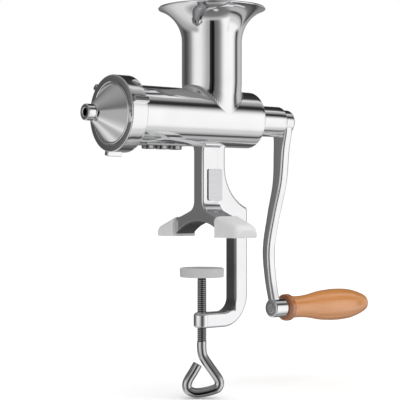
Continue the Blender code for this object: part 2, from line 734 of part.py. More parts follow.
def make_clamp_frame():
    """Leg, spine, lower jaw and the two limbs under the leg, as one casting."""
    side = Matrix(((1, 0, 0, 0), (0, 0, -1, 0), (0, 1, 0, 0), (0, 0, 0, 1)))
    frame = plate("clamp_frame", side_outline(), PLATE_HALF, PLATE_EDGE, STEEL, side)
    middle_x = (LIMB_FRONT_X + LIMB_REAR_X) / 2
    front = Matrix(((0, 0, 1, middle_x), (1, 0, 0, 0), (0, 1, 0, 0), (0, 0, 0, 1)))
    limbs = plate("limbs", front_outline(), (LIMB_REAR_X - LIMB_FRONT_X) / 2, 1.2 * MM, None, front)
    nose = turned(
        "jaw_end",
        [
            (0.0, JAW_TOP_Z + 0.1 * MM),
            (PLATE_HALF - 1.0 * MM, JAW_TOP_Z + 0.1 * MM),
            (PLATE_HALF + 0.1 * MM, JAW_TOP_Z - 1.1 * MM),
            (PLATE_HALF + 0.1 * MM, JAW_LOW_Z + 1.1 * MM),
            (PLATE_HALF - 1.0 * MM, JAW_LOW_Z - 0.1 * MM),
            (0.0, JAW_LOW_Z - 0.1 * MM),
        ],
        None,
        (0.0, 0.0, 0.0),
        (0.0, 0.0, 0.0),
        sides=SMALL,
        closed=False,
    )
    combine(frame, limbs, nose, operation="UNION")
    jaw_middle = Matrix.Translation((0.0, 0.0, (JAW_TOP_Z + JAW_LOW_Z) / 2))
    tapping = rods("jaw_tapping", [jaw_middle], SCREW_R + GAP, 40 * MM, SMALL)
    return combine(frame, barrel_clearance("leg_saddle"), tapping)


def cap_height(y):
    """Height of a foot cap's sloping top at a sideways place."""
    share = (y - CAP_MOUTH_Y) / (CAP_TOE_Y - CAP_MOUTH_Y)
    return CAP_MOUTH[1] + share * (CAP_TOE[1] - CAP_MOUTH[1])


def wedge(side, ends, low_z):
    """A six-sided wedge; each end is its sideways place, low x, high x and top height."""
    solid = bmesh.new()
    bmesh.ops.create_cube(solid, size=2.0)
    for vert in solid.verts:
        y, low_x, high_x, top = ends[1] if vert.co.y > 0 else ends[0]
        x = high_x if vert.co.x > 0 else low_x
        vert.co = (x, side * y, top if vert.co.z > 0 else low_z)
    if side < 0:
        bmesh.ops.reverse_faces(solid, faces=solid.faces)
    return solid


def make_foot_caps():
    """A soft wedge-shaped cap over each limb's tenon."""
    for name, side, mouth_y in (("foot_cap_near", -1.0, CAP_MOUTH_Y), ("foot_cap_far", 1.0, FAR_MOUTH_Y)):
        ends = []
        for y, half_width in ((mouth_y, CAP_MOUTH[0]), (CAP_TOE_Y, CAP_TOE[0])):
            ends.append((y, CAP_MIDDLE_X - half_width, CAP_MIDDLE_X + half_width, cap_height(y)))
        solid = wedge(side, ends, 0.0)
        ridges = [e for e in solid.edges if sum(v.co.z > 5 * MM for v in e.verts) == 2]
        ridges = [e for e in ridges if abs(e.verts[0].co.x - e.verts[1].co.x) < 5 * MM]
        bmesh.ops.bevel(solid, geom=ridges, offset=CAP_ROUND, segments=5, profile=0.5, affect="EDGES")
        toe = [e for e in solid.edges if all(abs(v.co.y) > CAP_TOE_Y - 0.1 * MM for v in e.verts)]
        bmesh.ops.bevel(solid, geom=toe, offset=1.2 * MM, segments=2, profile=0.5, affect="EDGES")
        mesh = bpy.data.meshes.new(name)
        solid.to_mesh(mesh)
        solid.free()
        cap = finish(bpy.data.objects.new(name, mesh), name, WHITE)
        combine(cap, tenon_cutter(name + "_socket", side, mouth_y))


def tenon_cutter(name, side, mouth_y):
    """The tenon's shape with a gap all round, open past the cap's mouth."""
    ends = []
    for y in (mouth_y - 4 * MM, TENON_END_Y + GAP):
        ends.append((y, LIMB_FRONT_X - GAP, LIMB_REAR_X + GAP, tenon_top(y) + 1.5 * GAP))
    solid = wedge(side, ends, TENON_LOW_Z - GAP)
    mesh = bpy.data.meshes.new(name)
    solid.to_mesh(mesh)
    solid.free()
    return finish(bpy.data.objects.new(name, mesh), name, None, "cutters")


def make_name_plate():
    low_x, high_x, low_z, high_z = PLATE_LABEL
    side = Matrix(
        (
            (1, 0, 0, (low_x + high_x) / 2),
            (0, 0, -1, -PLATE_HALF - GAP - LABEL_THICK / 2),
            (0, 1, 0, (low_z + high_z) / 2),
            (0, 0, 0, 1),
        )
    )
    half_x = (high_x - low_x) / 2
    half_z = (high_z - low_z) / 2
    corner = 2.0 * MM
    outline = []
    for sign_x, sign_z, start in ((1, 1, 0), (-1, 1, 90), (-1, -1, 180), (1, -1, 270)):
        outline += arc(sign_x * (half_x - corner), sign_z * (half_z - corner), corner, start, start + 90, 3)
    return plate("name_plate", outline, LABEL_THICK / 2, 0.15 * MM, STEEL, side)


def make_pad_cap():
    outline = [
        (0.0, PAD_TOP_Z),
        (PAD_R - 1.8 * MM, PAD_TOP_Z),
        *arc(PAD_R - 1.6 * MM, PAD_TOP_Z - 1.8 * MM, 1.6 * MM, 75, 0, 3),
        (PAD_R - 0.3 * MM, PAD_LOW_Z + 1.2 * MM),
        (PAD_R - 1.5 * MM, PAD_LOW_Z),
        (PAD_POCKET_R, PAD_LOW_Z),
        (PAD_POCKET_R, -34.9 * MM),
        (0.0, -34.9 * MM),
    ]
    return turned("pad_cap", outline, WHITE, (0.0, 0.0, 0.0), (0.0, 0.0, 0.0), closed=False)


def make_clamp_screw():
    """A threaded rod whose lower end is bent into a closed loop to turn it by."""
    start_z = PAD_LOW_Z - GAP
    bend = [(across, z) for across, z in smooth(LOOP_ROUTE, 2)]
    route = [(0.0, start_z), (0.0, -76.0 * MM), *bend]
    curve = bpy.data.curves.new("clamp_screw", "CURVE")
    curve.dimensions = "3D"
    curve.bevel_depth = SCREW_R
    curve.bevel_resolution = 3
    curve.use_fill_caps = True
    spline = curve.splines.new("POLY")
    spline.points.add(len(route) - 1)
    for point, (across, z) in zip(spline.points, route):
        point.co = (across, 0.0, z, 1.0)
    turn = Matrix.Rotation(LOOP_TURN, 4, "Z")
    screw = as_mesh(bpy.data.objects.new("clamp_screw", curve), "clamp_screw", STEEL, turn)
    spigot_top = -35.3 * MM
    middle = Matrix.Translation((0.0, 0.0, (spigot_top + start_z - 5 * MM) / 2))
    spigot = rods("screw_spigot", [middle], SPIGOT_R, spigot_top - start_z + 5 * MM, 16)
    return combine(screw, spigot, operation="UNION")


def main():
    clear_scene()
    make_barrel()
    make_hopper()
    make_juice_outlet()
    make_lock_ring()
    make_end_cap()
    make_pulp_nozzle()
    make_rings()
    make_strainer()
    make_rear_bush()
    make_auger()
    make_crank_arm()
    make_hub_screw()
    make_grip_bolt()
    make_wooden_grip()
    make_clamp_frame()
    make_foot_caps()
    make_name_plate()
    make_pad_cap()
    make_clamp_screw()


main()
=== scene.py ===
"""Looks of the hand-cranked auger juicer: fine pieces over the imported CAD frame.

Every object is in metres. +X runs along the barrel towards the crank and +Z is up.
"""

import math

import bpy
from mathutils import Matrix, Vector


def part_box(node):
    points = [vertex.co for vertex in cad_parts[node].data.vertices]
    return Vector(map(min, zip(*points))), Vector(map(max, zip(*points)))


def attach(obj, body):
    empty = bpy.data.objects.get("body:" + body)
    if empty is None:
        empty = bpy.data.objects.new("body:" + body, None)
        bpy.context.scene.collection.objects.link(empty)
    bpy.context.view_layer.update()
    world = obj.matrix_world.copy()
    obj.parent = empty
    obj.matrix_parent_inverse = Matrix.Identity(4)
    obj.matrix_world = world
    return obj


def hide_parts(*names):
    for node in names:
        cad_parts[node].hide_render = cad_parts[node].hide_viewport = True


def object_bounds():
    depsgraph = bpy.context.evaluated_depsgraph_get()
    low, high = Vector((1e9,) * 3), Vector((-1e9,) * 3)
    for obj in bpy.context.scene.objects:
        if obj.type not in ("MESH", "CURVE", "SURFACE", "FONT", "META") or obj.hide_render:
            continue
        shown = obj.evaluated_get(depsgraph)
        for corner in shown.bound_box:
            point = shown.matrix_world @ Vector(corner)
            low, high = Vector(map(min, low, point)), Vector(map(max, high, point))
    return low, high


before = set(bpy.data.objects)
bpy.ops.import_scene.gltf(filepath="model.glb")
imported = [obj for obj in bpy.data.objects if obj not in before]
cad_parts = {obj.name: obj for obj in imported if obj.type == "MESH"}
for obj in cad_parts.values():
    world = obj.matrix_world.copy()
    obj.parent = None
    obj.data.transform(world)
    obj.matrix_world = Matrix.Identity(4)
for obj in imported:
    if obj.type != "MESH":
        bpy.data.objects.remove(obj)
CAD_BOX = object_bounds()

MM = 0.001
SIDES = 128  # sides of a large turned piece
SMALL_SIDES = 64
AXIS_X = Vector((1.0, 0.0, 0.0))
AXIS_Z = Vector((0.0, 0.0, 1.0))


# ---------------------------------------------------------------- places from the CAD frame


def middle(node):
    low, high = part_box(node)
    return (low + high) / 2


BARREL_LOW, BARREL_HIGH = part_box("barrel")
AXIS_HEIGHT = middle("end_cap").z
BARREL_LINE = Vector((0.0, 0.0, AXIS_HEIGHT))  # a point on the barrel's axis
HOPPER_X = middle("hopper").x
EYE_LINE = Vector((0.0, middle("wooden_grip").y, middle("wooden_grip").z))
CLAMP_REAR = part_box("clamp_frame")[1].x
SPINE_FRONT = CLAMP_REAR - 17.4 * MM
BARREL_R = 29.0 * MM
PLATE_HALF = 8.3 * MM  # half the thickness of the clamp's leg, spine and jaw
JAW_TOP = -76.7 * MM
JAW_LOW = -92.2 * MM
LIMB_FRONT = -4.8 * MM
LIMB_REAR = 18.2 * MM
NEAR_SHOULDER = (30.3 * MM, 20.8 * MM)  # where a limb ends and its tenon begins
FAR_SHOULDER = (37.9 * MM, 19.3 * MM)
TENON_LOW = 2.9 * MM  # height of a tenon's lowest corner
ARCH_R = 55.6 * MM
ARCH_CENTRE = 15.7 * MM - ARCH_R  # height of the arch's centre
BOLT_BORE_R = 3.5 * MM  # hole for the grip's bolt, in the crank's eye and in the grip
ORIGIN = Vector((0.0, 0.0, 0.0))
LYING = (0.0, math.radians(90), 0.0)  # lays an upright cylinder along the barrel


# ---------------------------------------------------------------- shader maths


class Level:
    """A number that varies over a surface. Arithmetic on it adds Math nodes."""

    def __init__(self, tree, socket):
        self.tree = tree
        self.socket = socket

    def math(self, operation, *values):
        node = self.tree.nodes.new("ShaderNodeMath")
        node.operation = operation
        for place, value in zip(node.inputs, values):
            if isinstance(value, Level):
                self.tree.links.new(value.socket, place)
            else:
                place.default_value = value
        return Level(self.tree, node.outputs[0])

    def __add__(self, other):
        return self.math("ADD", self, other)

    __radd__ = __add__

    def __sub__(self, other):
        return self.math("SUBTRACT", self, other)

    def __rsub__(self, other):
        return self.math("SUBTRACT", other, self)

    def __mul__(self, other):
        return self.math("MULTIPLY", self, other)

    __rmul__ = __mul__

    def ramp(self, stops):
        """Brightness by an angle in radians: stops are (degrees, level), up to the peak."""
        peak = 1.25
        node = self.tree.nodes.new("ShaderNodeValToRGB")
        turns = self * (0.5 / math.pi) + 0.5
        line = node.color_ramp
        while len(line.elements) < len(stops):
            line.elements.new(1.0)
        for element, (degrees, level) in zip(line.elements, stops):
            element.position = degrees / 360 + 0.5
            element.color = (level / peak, level / peak, level / peak, 1.0)
        self.tree.links.new(turns.socket, node.inputs[0])
        return Level(self.tree, node.outputs[0]) * peak

    def rise(self, at, soft):
        """Goes smoothly from 0 to 1 round a value, over twice the softness."""
        node = self.tree.nodes.new("ShaderNodeMapRange")
        node.interpolation_type = "SMOOTHSTEP"
        self.tree.links.new(self.socket, node.inputs["Value"])
        node.inputs["From Min"].default_value = at - soft
        node.inputs["From Max"].default_value = at + soft
        return Level(self.tree, node.outputs[0])


class Finish:
    """A material being mixed: its node tree, its shader and the piece's own coordinates."""

    def __init__(self, name, constants):
        self.material = bpy.data.materials.new(name)
        self.material.use_nodes = True
        self.tree = self.material.node_tree
        self.shader = self.tree.nodes["Principled BSDF"]
        for socket, value in constants.items():
            self.shader.inputs[socket].default_value = value
        self.place = self.node("ShaderNodeTexCoord", {}, {}).outputs["Object"]

    def node(self, kind, settings, sockets):
        """Adds a node: settings are set first, then its sockets get values or links."""
        node = self.tree.nodes.new(kind)
        for name, value in settings.items():
            setattr(node, name, value)
        for name, value in sockets.items():
            if isinstance(value, Level):
                value = value.socket
            if isinstance(value, bpy.types.NodeSocket):
                self.tree.links.new(value, node.inputs[name])
            else:
                node.inputs[name].default_value = value
        return node

    def stretched(self, scale):
        """The piece's coordinates, drawn out where the scale is small."""
        mapping = self.node("ShaderNodeMapping", {}, {"Vector": self.place, "Scale": scale})
        return mapping.outputs["Vector"]

    def axes(self):
        """The piece's own X, Y and Z as levels."""
        split = self.node("ShaderNodeSeparateXYZ", {}, {"Vector": self.place})
        return [Level(self.tree, socket) for socket in split.outputs]

    def noise(self, scale, place=None, detail=3.0, roughness=0.5):
        sockets = {
            "Vector": place or self.place,
            "Scale": scale,
            "Detail": detail,
            "Roughness": roughness,
        }
        return Level(self.tree, self.node("ShaderNodeTexNoise", {}, sockets).outputs["Fac"])

    def tint(self, factor, low, high):
        """A colour between two, by a level."""
        mix = self.node("ShaderNodeMix", {"data_type": "RGBA"}, {})
        self.tree.links.new(factor.socket, mix.inputs["Factor"])
        for socket, colour in zip((mix.inputs[6], mix.inputs[7]), (low, high)):
            if isinstance(colour, bpy.types.NodeSocket):
                self.tree.links.new(colour, socket)
            else:
                socket.default_value = (*colour, 1.0)
        return mix.outputs[2]

    def give(self, name, value):
        """Links a level or a colour to one of the shader's sockets."""
        socket = value.socket if isinstance(value, Level) else value
        self.tree.links.new(socket, self.shader.inputs[name])

    def bump(self, height, strength, distance):
        sockets = {"Height": height, "Strength": strength, "Distance": distance}
        self.give("Normal", self.node("ShaderNodeBump", {}, sockets).outputs["Normal"])


def polished_steel(name="polished steel", shine=0.03, wave=0.0, painted_shade=None, tone=(0.80, 0.80, 0.81)):
    """Buffed stainless steel: wiping marks in the gloss and very fine polishing lines.

    A wave adds the slow unevenness of a hand-buffed casting. The fifth argument is a function that gives
    the level of painted shade at each place: there the colour is darkened to near black and the roughness
    rises.
    """
    mix = Finish(name, {"Metallic": 1.0})
    cloudy = mix.noise(38.0, detail=4.0)
    hair = mix.noise(1500.0, mix.stretched((0.05, 1.0, 1.0)), detail=2.0)
    pits = mix.noise(900.0, detail=1.0)
    slow = mix.noise(70.0, detail=1.0)
    bright = tuple(min(1.0, c * 1.13) for c in tone)
    colour = mix.tint(cloudy, tone, bright)
    gloss = shine + cloudy * 0.04 + hair * 0.02
    if painted_shade:
        # painted shade: near-black colour where the shade level is high
        shade_level = painted_shade(mix)
        colour = mix.tint(shade_level, colour, (0.06, 0.06, 0.06))
        gloss = gloss + shade_level * 0.25
    mix.give("Base Color", colour)
    mix.give("Roughness", gloss)
    mix.bump(hair * 0.035 + pits * 0.015 + slow * wave, 1.0, 0.00004)
    return mix.material


def painted_shade_in_arch_and_throat(mix):
    """Painted shade on the clamp casting: under its arch and on the inner face of its throat."""
    x, y, z = mix.axes()
    up = z - ARCH_CENTRE
    out = y.math("SQRT", y * y + up * up)
    under_arch = (1 - out.rise(ARCH_R + 1.5 * MM, 0.5 * MM)) * z.rise(1.0 * MM, 1.0 * MM)
    under_arch = under_arch * (1 - x.rise(LIMB_REAR + 0.4 * MM, 0.5 * MM))
    in_throat = (1 - x.rise(SPINE_FRONT + 0.8 * MM, 0.6 * MM)) * (1 - z.rise(-1.0 * MM, 2.0 * MM))
    in_throat = in_throat * z.rise(JAW_TOP + 0.7 * MM, 1.0 * MM)
    return under_arch.math("MAXIMUM", under_arch, in_throat) * 0.85


def thread_shade(mix):
    """The dark roots of the clamp screw's thread, by the distance from its axis."""
    x, y, z = mix.axes()
    out = x.math("SQRT", x * x + y * y)
    return (1 - out.rise(4.45 * MM, 0.3 * MM)) * z.rise(-110.0 * MM, 1.0 * MM)


def satin_steel(name="satin steel", tone=(0.62, 0.62, 0.63), rough=0.24):
    """Brushed stainless steel, with lines along the barrel."""
    mix = Finish(name, {"Metallic": 1.0})
    lines = mix.noise(900.0, mix.stretched((0.03, 1.0, 1.0)), detail=4.0, roughness=0.7)
    cloudy = mix.noise(30.0)
    bright = tuple(min(1.0, c * 1.25) for c in tone)
    mix.give("Base Color", mix.tint(lines, tone, bright))
    mix.give("Roughness", rough + lines * 0.1 + cloudy * 0.08)
    mix.bump(lines, 0.25, 0.00005)
    return mix.material


def white_plastic(name="white plastic", tone=(0.64, 0.645, 0.64), rough=0.34):
    """Moulded milky plastic: a faint mottle, scuffs in the sheen and a fine skin."""
    mix = Finish(
        name,
        {
            "Subsurface Weight": 0.25,
            "Subsurface Radius": (1.0, 1.0, 1.0),
            "Subsurface Scale": 0.002,
        },
    )
    mottle = mix.noise(60.0)
    scuffs = mix.noise(420.0, mix.stretched((1.0, 0.2, 1.0)), detail=5.0, roughness=0.7)
    pale = tuple(min(1.0, c * 1.06) for c in tone)
    mix.give("Base Color", mix.tint(mottle, tone, pale))
    mix.give("Roughness", rough + scuffs * 0.16)
    mix.bump(scuffs * 0.5 + mix.noise(1400.0) * 0.5, 0.12, 0.00006)
    return mix.material


def lacquered_wood(name="lacquered wood"):
    """Clear-lacquered beech: long grain, short darker flecks, and painted shade on the collar, which is
    also tinted a little redder.
    """
    mix = Finish(name, {"Coat Roughness": 0.2, "Coat Weight": 1.0, "Coat IOR": 1.9})
    along = mix.stretched((0.06, 1.0, 1.0))
    warp = mix.noise(40.0, along, detail=2.0)
    rings = mix.noise(260.0, along, detail=4.0, roughness=0.62)
    flecks = mix.noise(900.0, mix.stretched((0.09, 1.0, 1.0)), detail=2.0)
    # painted shade: the collar is darkened towards a deep red-brown
    collar_shade = 1 - mix.axes()[0].rise(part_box("wooden_grip")[0].x + 7.2 * MM, 1.2 * MM)
    grain = mix.tint(rings, (0.44, 0.150, 0.030), (0.66, 0.285, 0.075))
    warmer = mix.tint(warp, (0.50, 0.185, 0.040), (0.66, 0.290, 0.085))
    wood = mix.tint(warp * 0.5 + 0.2, grain, warmer)
    speck = flecks.rise(0.66, 0.05) * 0.35
    wood = mix.tint(speck, wood, (0.26, 0.085, 0.018))
    mix.give("Base Color", mix.tint(collar_shade * 0.8, wood, (0.27, 0.070, 0.012)))
    mix.give("Roughness", 0.28 + rings * 0.15)
    mix.bump(rings * 0.6 + flecks * 0.4, 0.15, 0.00008)
    return mix.material


# ---------------------------------------------------------------- making shapes


def deselect():
    if bpy.context.object and bpy.context.object.mode != "OBJECT":
        bpy.ops.object.mode_set(mode="OBJECT")
    bpy.ops.object.select_all(action="DESELECT")


def pick(obj):
    deselect()
    obj.select_set(True)
    bpy.context.view_layer.objects.active = obj


def settle(obj, name):
    """Puts a new object's place into its mesh, and names it."""
    pick(obj)
    bpy.ops.object.transform_apply(location=True, rotation=True, scale=True)
    obj.name = name
    obj.data.name = name
    return obj


def edit(obj, select="SELECT"):
    pick(obj)
    bpy.ops.object.mode_set(mode="EDIT")
    bpy.ops.mesh.select_all(action=select)


def leave():
    bpy.ops.object.mode_set(mode="OBJECT")


def mend(obj):
    """Merges doubles and turns every face outwards."""
    edit(obj)
    bpy.ops.mesh.remove_doubles(threshold=0.002 * MM)
    bpy.ops.mesh.normals_make_consistent(inside=False)
    leave()


def smooth(obj, degrees=32.0, weighted=False):
    pick(obj)
    bpy.ops.object.shade_smooth_by_angle(angle=math.radians(degrees))
    if weighted:
        modifier = obj.modifiers.new("normals", "WEIGHTED_NORMAL")
        modifier.keep_sharp = True
        bpy.ops.object.modifier_apply(modifier=modifier.name)
    return obj


def cut(obj, cutter, operation="DIFFERENCE"):
    """Cuts one shape out of another, or joins them, and removes the second."""
    pick(obj)
    modifier = obj.modifiers.new("cut", "BOOLEAN")
    modifier.operation = operation
    modifier.solver = "EXACT"
    modifier.object = cutter
    bpy.ops.object.modifier_apply(modifier=modifier.name)
    bpy.data.objects.remove(cutter, do_unlink=True)
    return obj


def arc(centre_u, centre_v, radius, start, end, count, radius_v=None):
    """Points of an arc, or of an ellipse's, from one angle to another in degrees."""
    tall = radius if radius_v is None else radius_v
    angles = [math.radians(start + (end - start) * i / count) for i in range(count + 1)]
    return [(centre_u + radius * math.cos(a), centre_v + tall * math.sin(a)) for a in angles]


def steps(start, end, count, radius):
    """Evenly spaced rings of one radius, without the first."""
    return [(start + (end - start) * i / count, radius) for i in range(1, count + 1)]


def through(stations, per_span):
    """Points on a smooth curve through the stations, whose ends it keeps."""
    ends = [tuple(2 * a - b for a, b in zip(stations[i], stations[j])) for i, j in ((0, 1), (-1, -2))]
    knots = [ends[0], *stations, ends[1]]
    points = []
    for span in range(1, len(knots) - 2):
        near = knots[span - 1 : span + 3]
        for step in range(per_span):
            t = step / per_span
            weights = (
                -0.5 * t + t**2 - 0.5 * t**3,
                1 - 2.5 * t**2 + 1.5 * t**3,
                0.5 * t + 2 * t**2 - 1.5 * t**3,
                -0.5 * t**2 + 0.5 * t**3,
            )
            points.append(tuple(sum(w * k[i] for w, k in zip(weights, near)) for i in range(len(near[0]))))
    return [*points, tuple(stations[-1])]


def draw_out(profile, line, axis):
    """Extrudes the selected ring from each (place, radius) of a profile to the next."""
    for (along, radius), (further, wider) in zip(profile, profile[1:]):
        step = {"value": tuple(axis * (further - along))}
        bpy.ops.mesh.extrude_region_move(TRANSFORM_OT_translate=step)
        grow = wider / radius
        bpy.ops.transform.resize(
            value=tuple(1.0 if a else grow for a in axis),
            center_override=tuple(line + axis * further),
        )


def turned(name, profile, line=BARREL_LINE, axis=AXIS_X, sides=SIDES, hollow=False, degrees=32.0):
    """A turned piece, from a circle drawn out along its axis, ring by ring.

    The profile is (place along the axis, radius). A hollow piece's profile ends where
    it began, and a solid one has a flat face at each end.
    """
    along, radius = profile[0]
    deselect()
    bpy.ops.mesh.primitive_circle_add(
        vertices=sides,
        radius=radius,
        fill_type="NOTHING" if hollow else "NGON",
        location=line + axis * along,
        rotation=LYING if axis.x else (0.0, 0.0, 0.0),
    )
    obj = settle(bpy.context.object, name)
    edit(obj)
    draw_out(profile, line, axis)
    leave()
    mend(obj)
    return smooth(obj, degrees)


def flat_plate(name, outline, half_thick, edge, place, fine=4):
    """A plate with rounded edges, from a flat closed outline; its own Z is the thickness."""
    curve = bpy.data.curves.new(name, "CURVE")
    curve.dimensions = "2D"
    curve.fill_mode = "BOTH"
    curve.extrude = half_thick - edge
    curve.bevel_depth = edge
    curve.bevel_resolution = fine
    curve.offset = -edge
    spline = curve.splines.new("POLY")
    spline.points.add(len(outline) - 1)
    for point, (u, v) in zip(spline.points, outline):
        point.co = (u, v, 0.0, 1.0)
    spline.use_cyclic_u = True
    drawn = bpy.data.objects.new(name, curve)
    bpy.context.scene.collection.objects.link(drawn)
    pick(drawn)
    bpy.ops.object.convert(target="MESH")
    drawn.matrix_world = place
    obj = settle(drawn, name)
    mend(obj)
    return smooth(obj, 35.0, weighted=True)


def drawn_rod(name, route, radius, sides):
    """A round rod along a route, with closed ends."""
    curve = bpy.data.curves.new(name, "CURVE")
    curve.dimensions = "3D"
    curve.bevel_depth = radius
    curve.bevel_resolution = sides // 4 - 1
    curve.use_fill_caps = True
    spline = curve.splines.new("POLY")
    spline.points.add(len(route) - 1)
    for point, place in zip(spline.points, route):
        point.co = (*place, 1.0)
    rod = bpy.data.objects.new(name, curve)
    bpy.context.scene.collection.objects.link(rod)
    pick(rod)
    bpy.ops.object.convert(target="MESH")
    obj = settle(rod, name)
    mend(obj)
    return smooth(obj)


def hidden_rod(place, radius, depth, sides=64, squash=1.0, turn=(0.0, 0.0, 0.0)):
    """A cylinder at a place, to cut with or to add; squash narrows it in Y."""
    deselect()
    bpy.ops.mesh.primitive_cylinder_add(
        vertices=sides, radius=radius, depth=depth, location=place, rotation=turn
    )
    obj = bpy.context.object
    obj.scale.y = squash
    return settle(obj, "cutter")


def join(name, *pieces):
    """Makes one object of several."""
    deselect()
    for piece in pieces:
        piece.select_set(True)
    bpy.context.view_layer.objects.active = pieces[0]
    bpy.ops.object.join()
    obj = bpy.context.object
    obj.name = name
    obj.data.name = name
    return obj


def place_piece(obj, body, finish, slot, *nodes):
    """Gives a finished piece its material and its body, and hides the CAD nodes it stands for."""
    obj.data.materials.clear()
    obj.data.materials.append(finish)
    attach(obj, body)
    if nodes:
        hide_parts(*nodes)
    return obj


# ---------------------------------------------------------------- barrel and hopper


def make_barrel():
    """The long tube with its threaded front, its shoulder and its bearing boss."""
    front, rear = BARREL_LOW.x, BARREL_HIGH.x
    thread_r = (BARREL_HIGH.z - BARREL_LOW.z) / 2
    boss_r = 16.0 * MM
    bore_r = 26.3 * MM
    boss_bore_r = 13.3 * MM
    shoulder = 61.2 * MM
    thread_rear = front + 10 * MM
    profile = [
        (rear, boss_bore_r),
        *arc(rear - 2 * MM, boss_r - 2 * MM, 2 * MM, 0, 90, 6),
        *steps(rear - 2 * MM, shoulder + 2.2 * MM, 4, boss_r),
        *arc(shoulder + 2.2 * MM, boss_r + 2.2 * MM, 2.2 * MM, 270, 180, 5)[1:],
        *arc(shoulder - 1.0 * MM, BARREL_R - 1.0 * MM, 1.0 * MM, 0, 90, 4),
        *steps(shoulder - 1.0 * MM, thread_rear, 40, BARREL_R),
        (thread_rear, thread_r),
        (front + 0.8 * MM, thread_r),
        (front, thread_r - 0.8 * MM),
        (front, bore_r),
        *steps(front, shoulder - 4.2 * MM, 30, bore_r),
        (shoulder - 4.2 * MM, boss_bore_r),
        (rear, boss_bore_r),
    ]
    return turned("barrel_casting", profile, hollow=True)


DRAIN_XS = [-66.6 * MM, -50.2 * MM, -33.8 * MM]
DRAIN_HALF_X = 5.2 * MM
DRAIN_HALF_Y = 3.6 * MM


def open_barrel(barrel):
    """Cuts the throat under the hopper and the three drain slots."""
    top = Vector((HOPPER_X, 0.0, AXIS_HEIGHT + BARREL_R))
    throat_r = 26.2 * MM
    cut(barrel, hidden_rod(top, throat_r, 2 * BARREL_R, 96))
    for x in DRAIN_XS:
        low = Vector((x, 0.0, AXIS_HEIGHT - BARREL_R))
        cut(barrel, hidden_rod(low, DRAIN_HALF_X, 12 * MM, 48, DRAIN_HALF_Y / DRAIN_HALF_X))
    smooth(barrel)


def make_hopper(barrel):
    """The feed tube: a flared mouth, and a foot blended on to the barrel's back."""
    radius = 30.6 * MM
    wall = 2.0 * MM
    flare_z = 198.3 * MM
    flare_r = 35.5 * MM
    end = 180 - 71
    centre_r = radius + flare_r
    outer = [(z, r) for r, z in arc(centre_r, flare_z, flare_r, 180, end, 26)]
    inner = [(z, r) for r, z in arc(centre_r, flare_z - 0.1 * MM, flare_r + wall, end, 180, 26)]
    foot_z = AXIS_HEIGHT + BARREL_R + 6.5 * MM
    profile = [
        (foot_z, radius),
        *steps(foot_z, flare_z, 8, radius)[:-1],
        *outer,
        (outer[-1][0] + 0.8 * MM, outer[-1][1] + 0.25 * MM),
        (inner[0][0] - 0.4 * MM, inner[0][1] + 0.25 * MM),
        *inner,
        *steps(flare_z, foot_z - 4 * MM, 8, radius - wall),
    ]
    line = Vector((HOPPER_X, 0.0, 0.0))
    hopper = turned("feed_hopper", profile, line, AXIS_Z, 96, hollow=True)
    seat_foot(hopper, barrel, line, foot_z, radius)
    return smooth(hopper, 40.0)


def seat_foot(hopper, barrel, line, foot_z, radius):
    """Draws both lower edges out, drops them on to the barrel and rounds the joint."""
    above = foot_z + 20 * MM
    plans = (
        ("joint", foot_z, radius, 0.0, (radius, 28.6 * MM)),
        ("skirt", foot_z, radius, -0.06 * MM, (radius + 7.5 * MM, 28.93 * MM)),
        ("throat", foot_z - 4 * MM, radius - 2 * MM, -1.3 * MM, (radius - 2 * MM, 28.0 * MM)),
    )
    mesh = hopper.data
    for name, level, ring_r, sink, (half_x, half_y) in plans:
        edit(hopper, "DESELECT")
        leave()
        if name == "skirt":
            for vert in mesh.vertices:
                vert.select = joint_group(hopper, vert)
        else:
            for vert in mesh.vertices:
                on_ring = abs(vert.co.z - level) < 0.01 * MM
                flat = math.hypot(vert.co.x - line.x, vert.co.y)
                vert.select = on_ring and abs(flat - ring_r) < 0.01 * MM
        bpy.ops.object.mode_set(mode="EDIT")
        bpy.ops.mesh.select_mode(type="VERT")
        bpy.ops.mesh.extrude_edges_move()
        leave()
        chosen = [vert for vert in mesh.vertices if vert.select]
        group = hopper.vertex_groups.new(name=name)
        group.add([vert.index for vert in chosen], 1.0, "REPLACE")
        for vert in chosen:
            turn = math.atan2(vert.co.y, vert.co.x - line.x)
            vert.co = (line.x + half_x * math.cos(turn), half_y * math.sin(turn), above)
        wrap = hopper.modifiers.new(name, "SHRINKWRAP")
        wrap.wrap_method = "PROJECT"
        wrap.use_project_z = True
        wrap.use_negative_direction = True
        wrap.use_positive_direction = False
        wrap.target = barrel
        wrap.vertex_group = name
        bpy.ops.object.modifier_apply(modifier=wrap.name)
        for vert in chosen:
            vert.co.z += sink
    edit(hopper, "DESELECT")
    for name in ("skirt", "throat"):
        bpy.ops.object.vertex_group_set_active(group=name)
        bpy.ops.object.vertex_group_select()
    bpy.ops.mesh.bridge_edge_loops()
    bpy.ops.mesh.select_all(action="DESELECT")
    bpy.ops.object.vertex_group_set_active(group="joint")
    bpy.ops.object.vertex_group_select()
    bpy.ops.mesh.bevel(offset_type="PERCENT", offset_pct=62, segments=8, profile=0.5, affect="EDGES")
    leave()
    hopper.vertex_groups.clear()
    mend(hopper)


def joint_group(hopper, vert):
    number = hopper.vertex_groups["joint"].index
    return any(entry.group == number for entry in vert.groups)


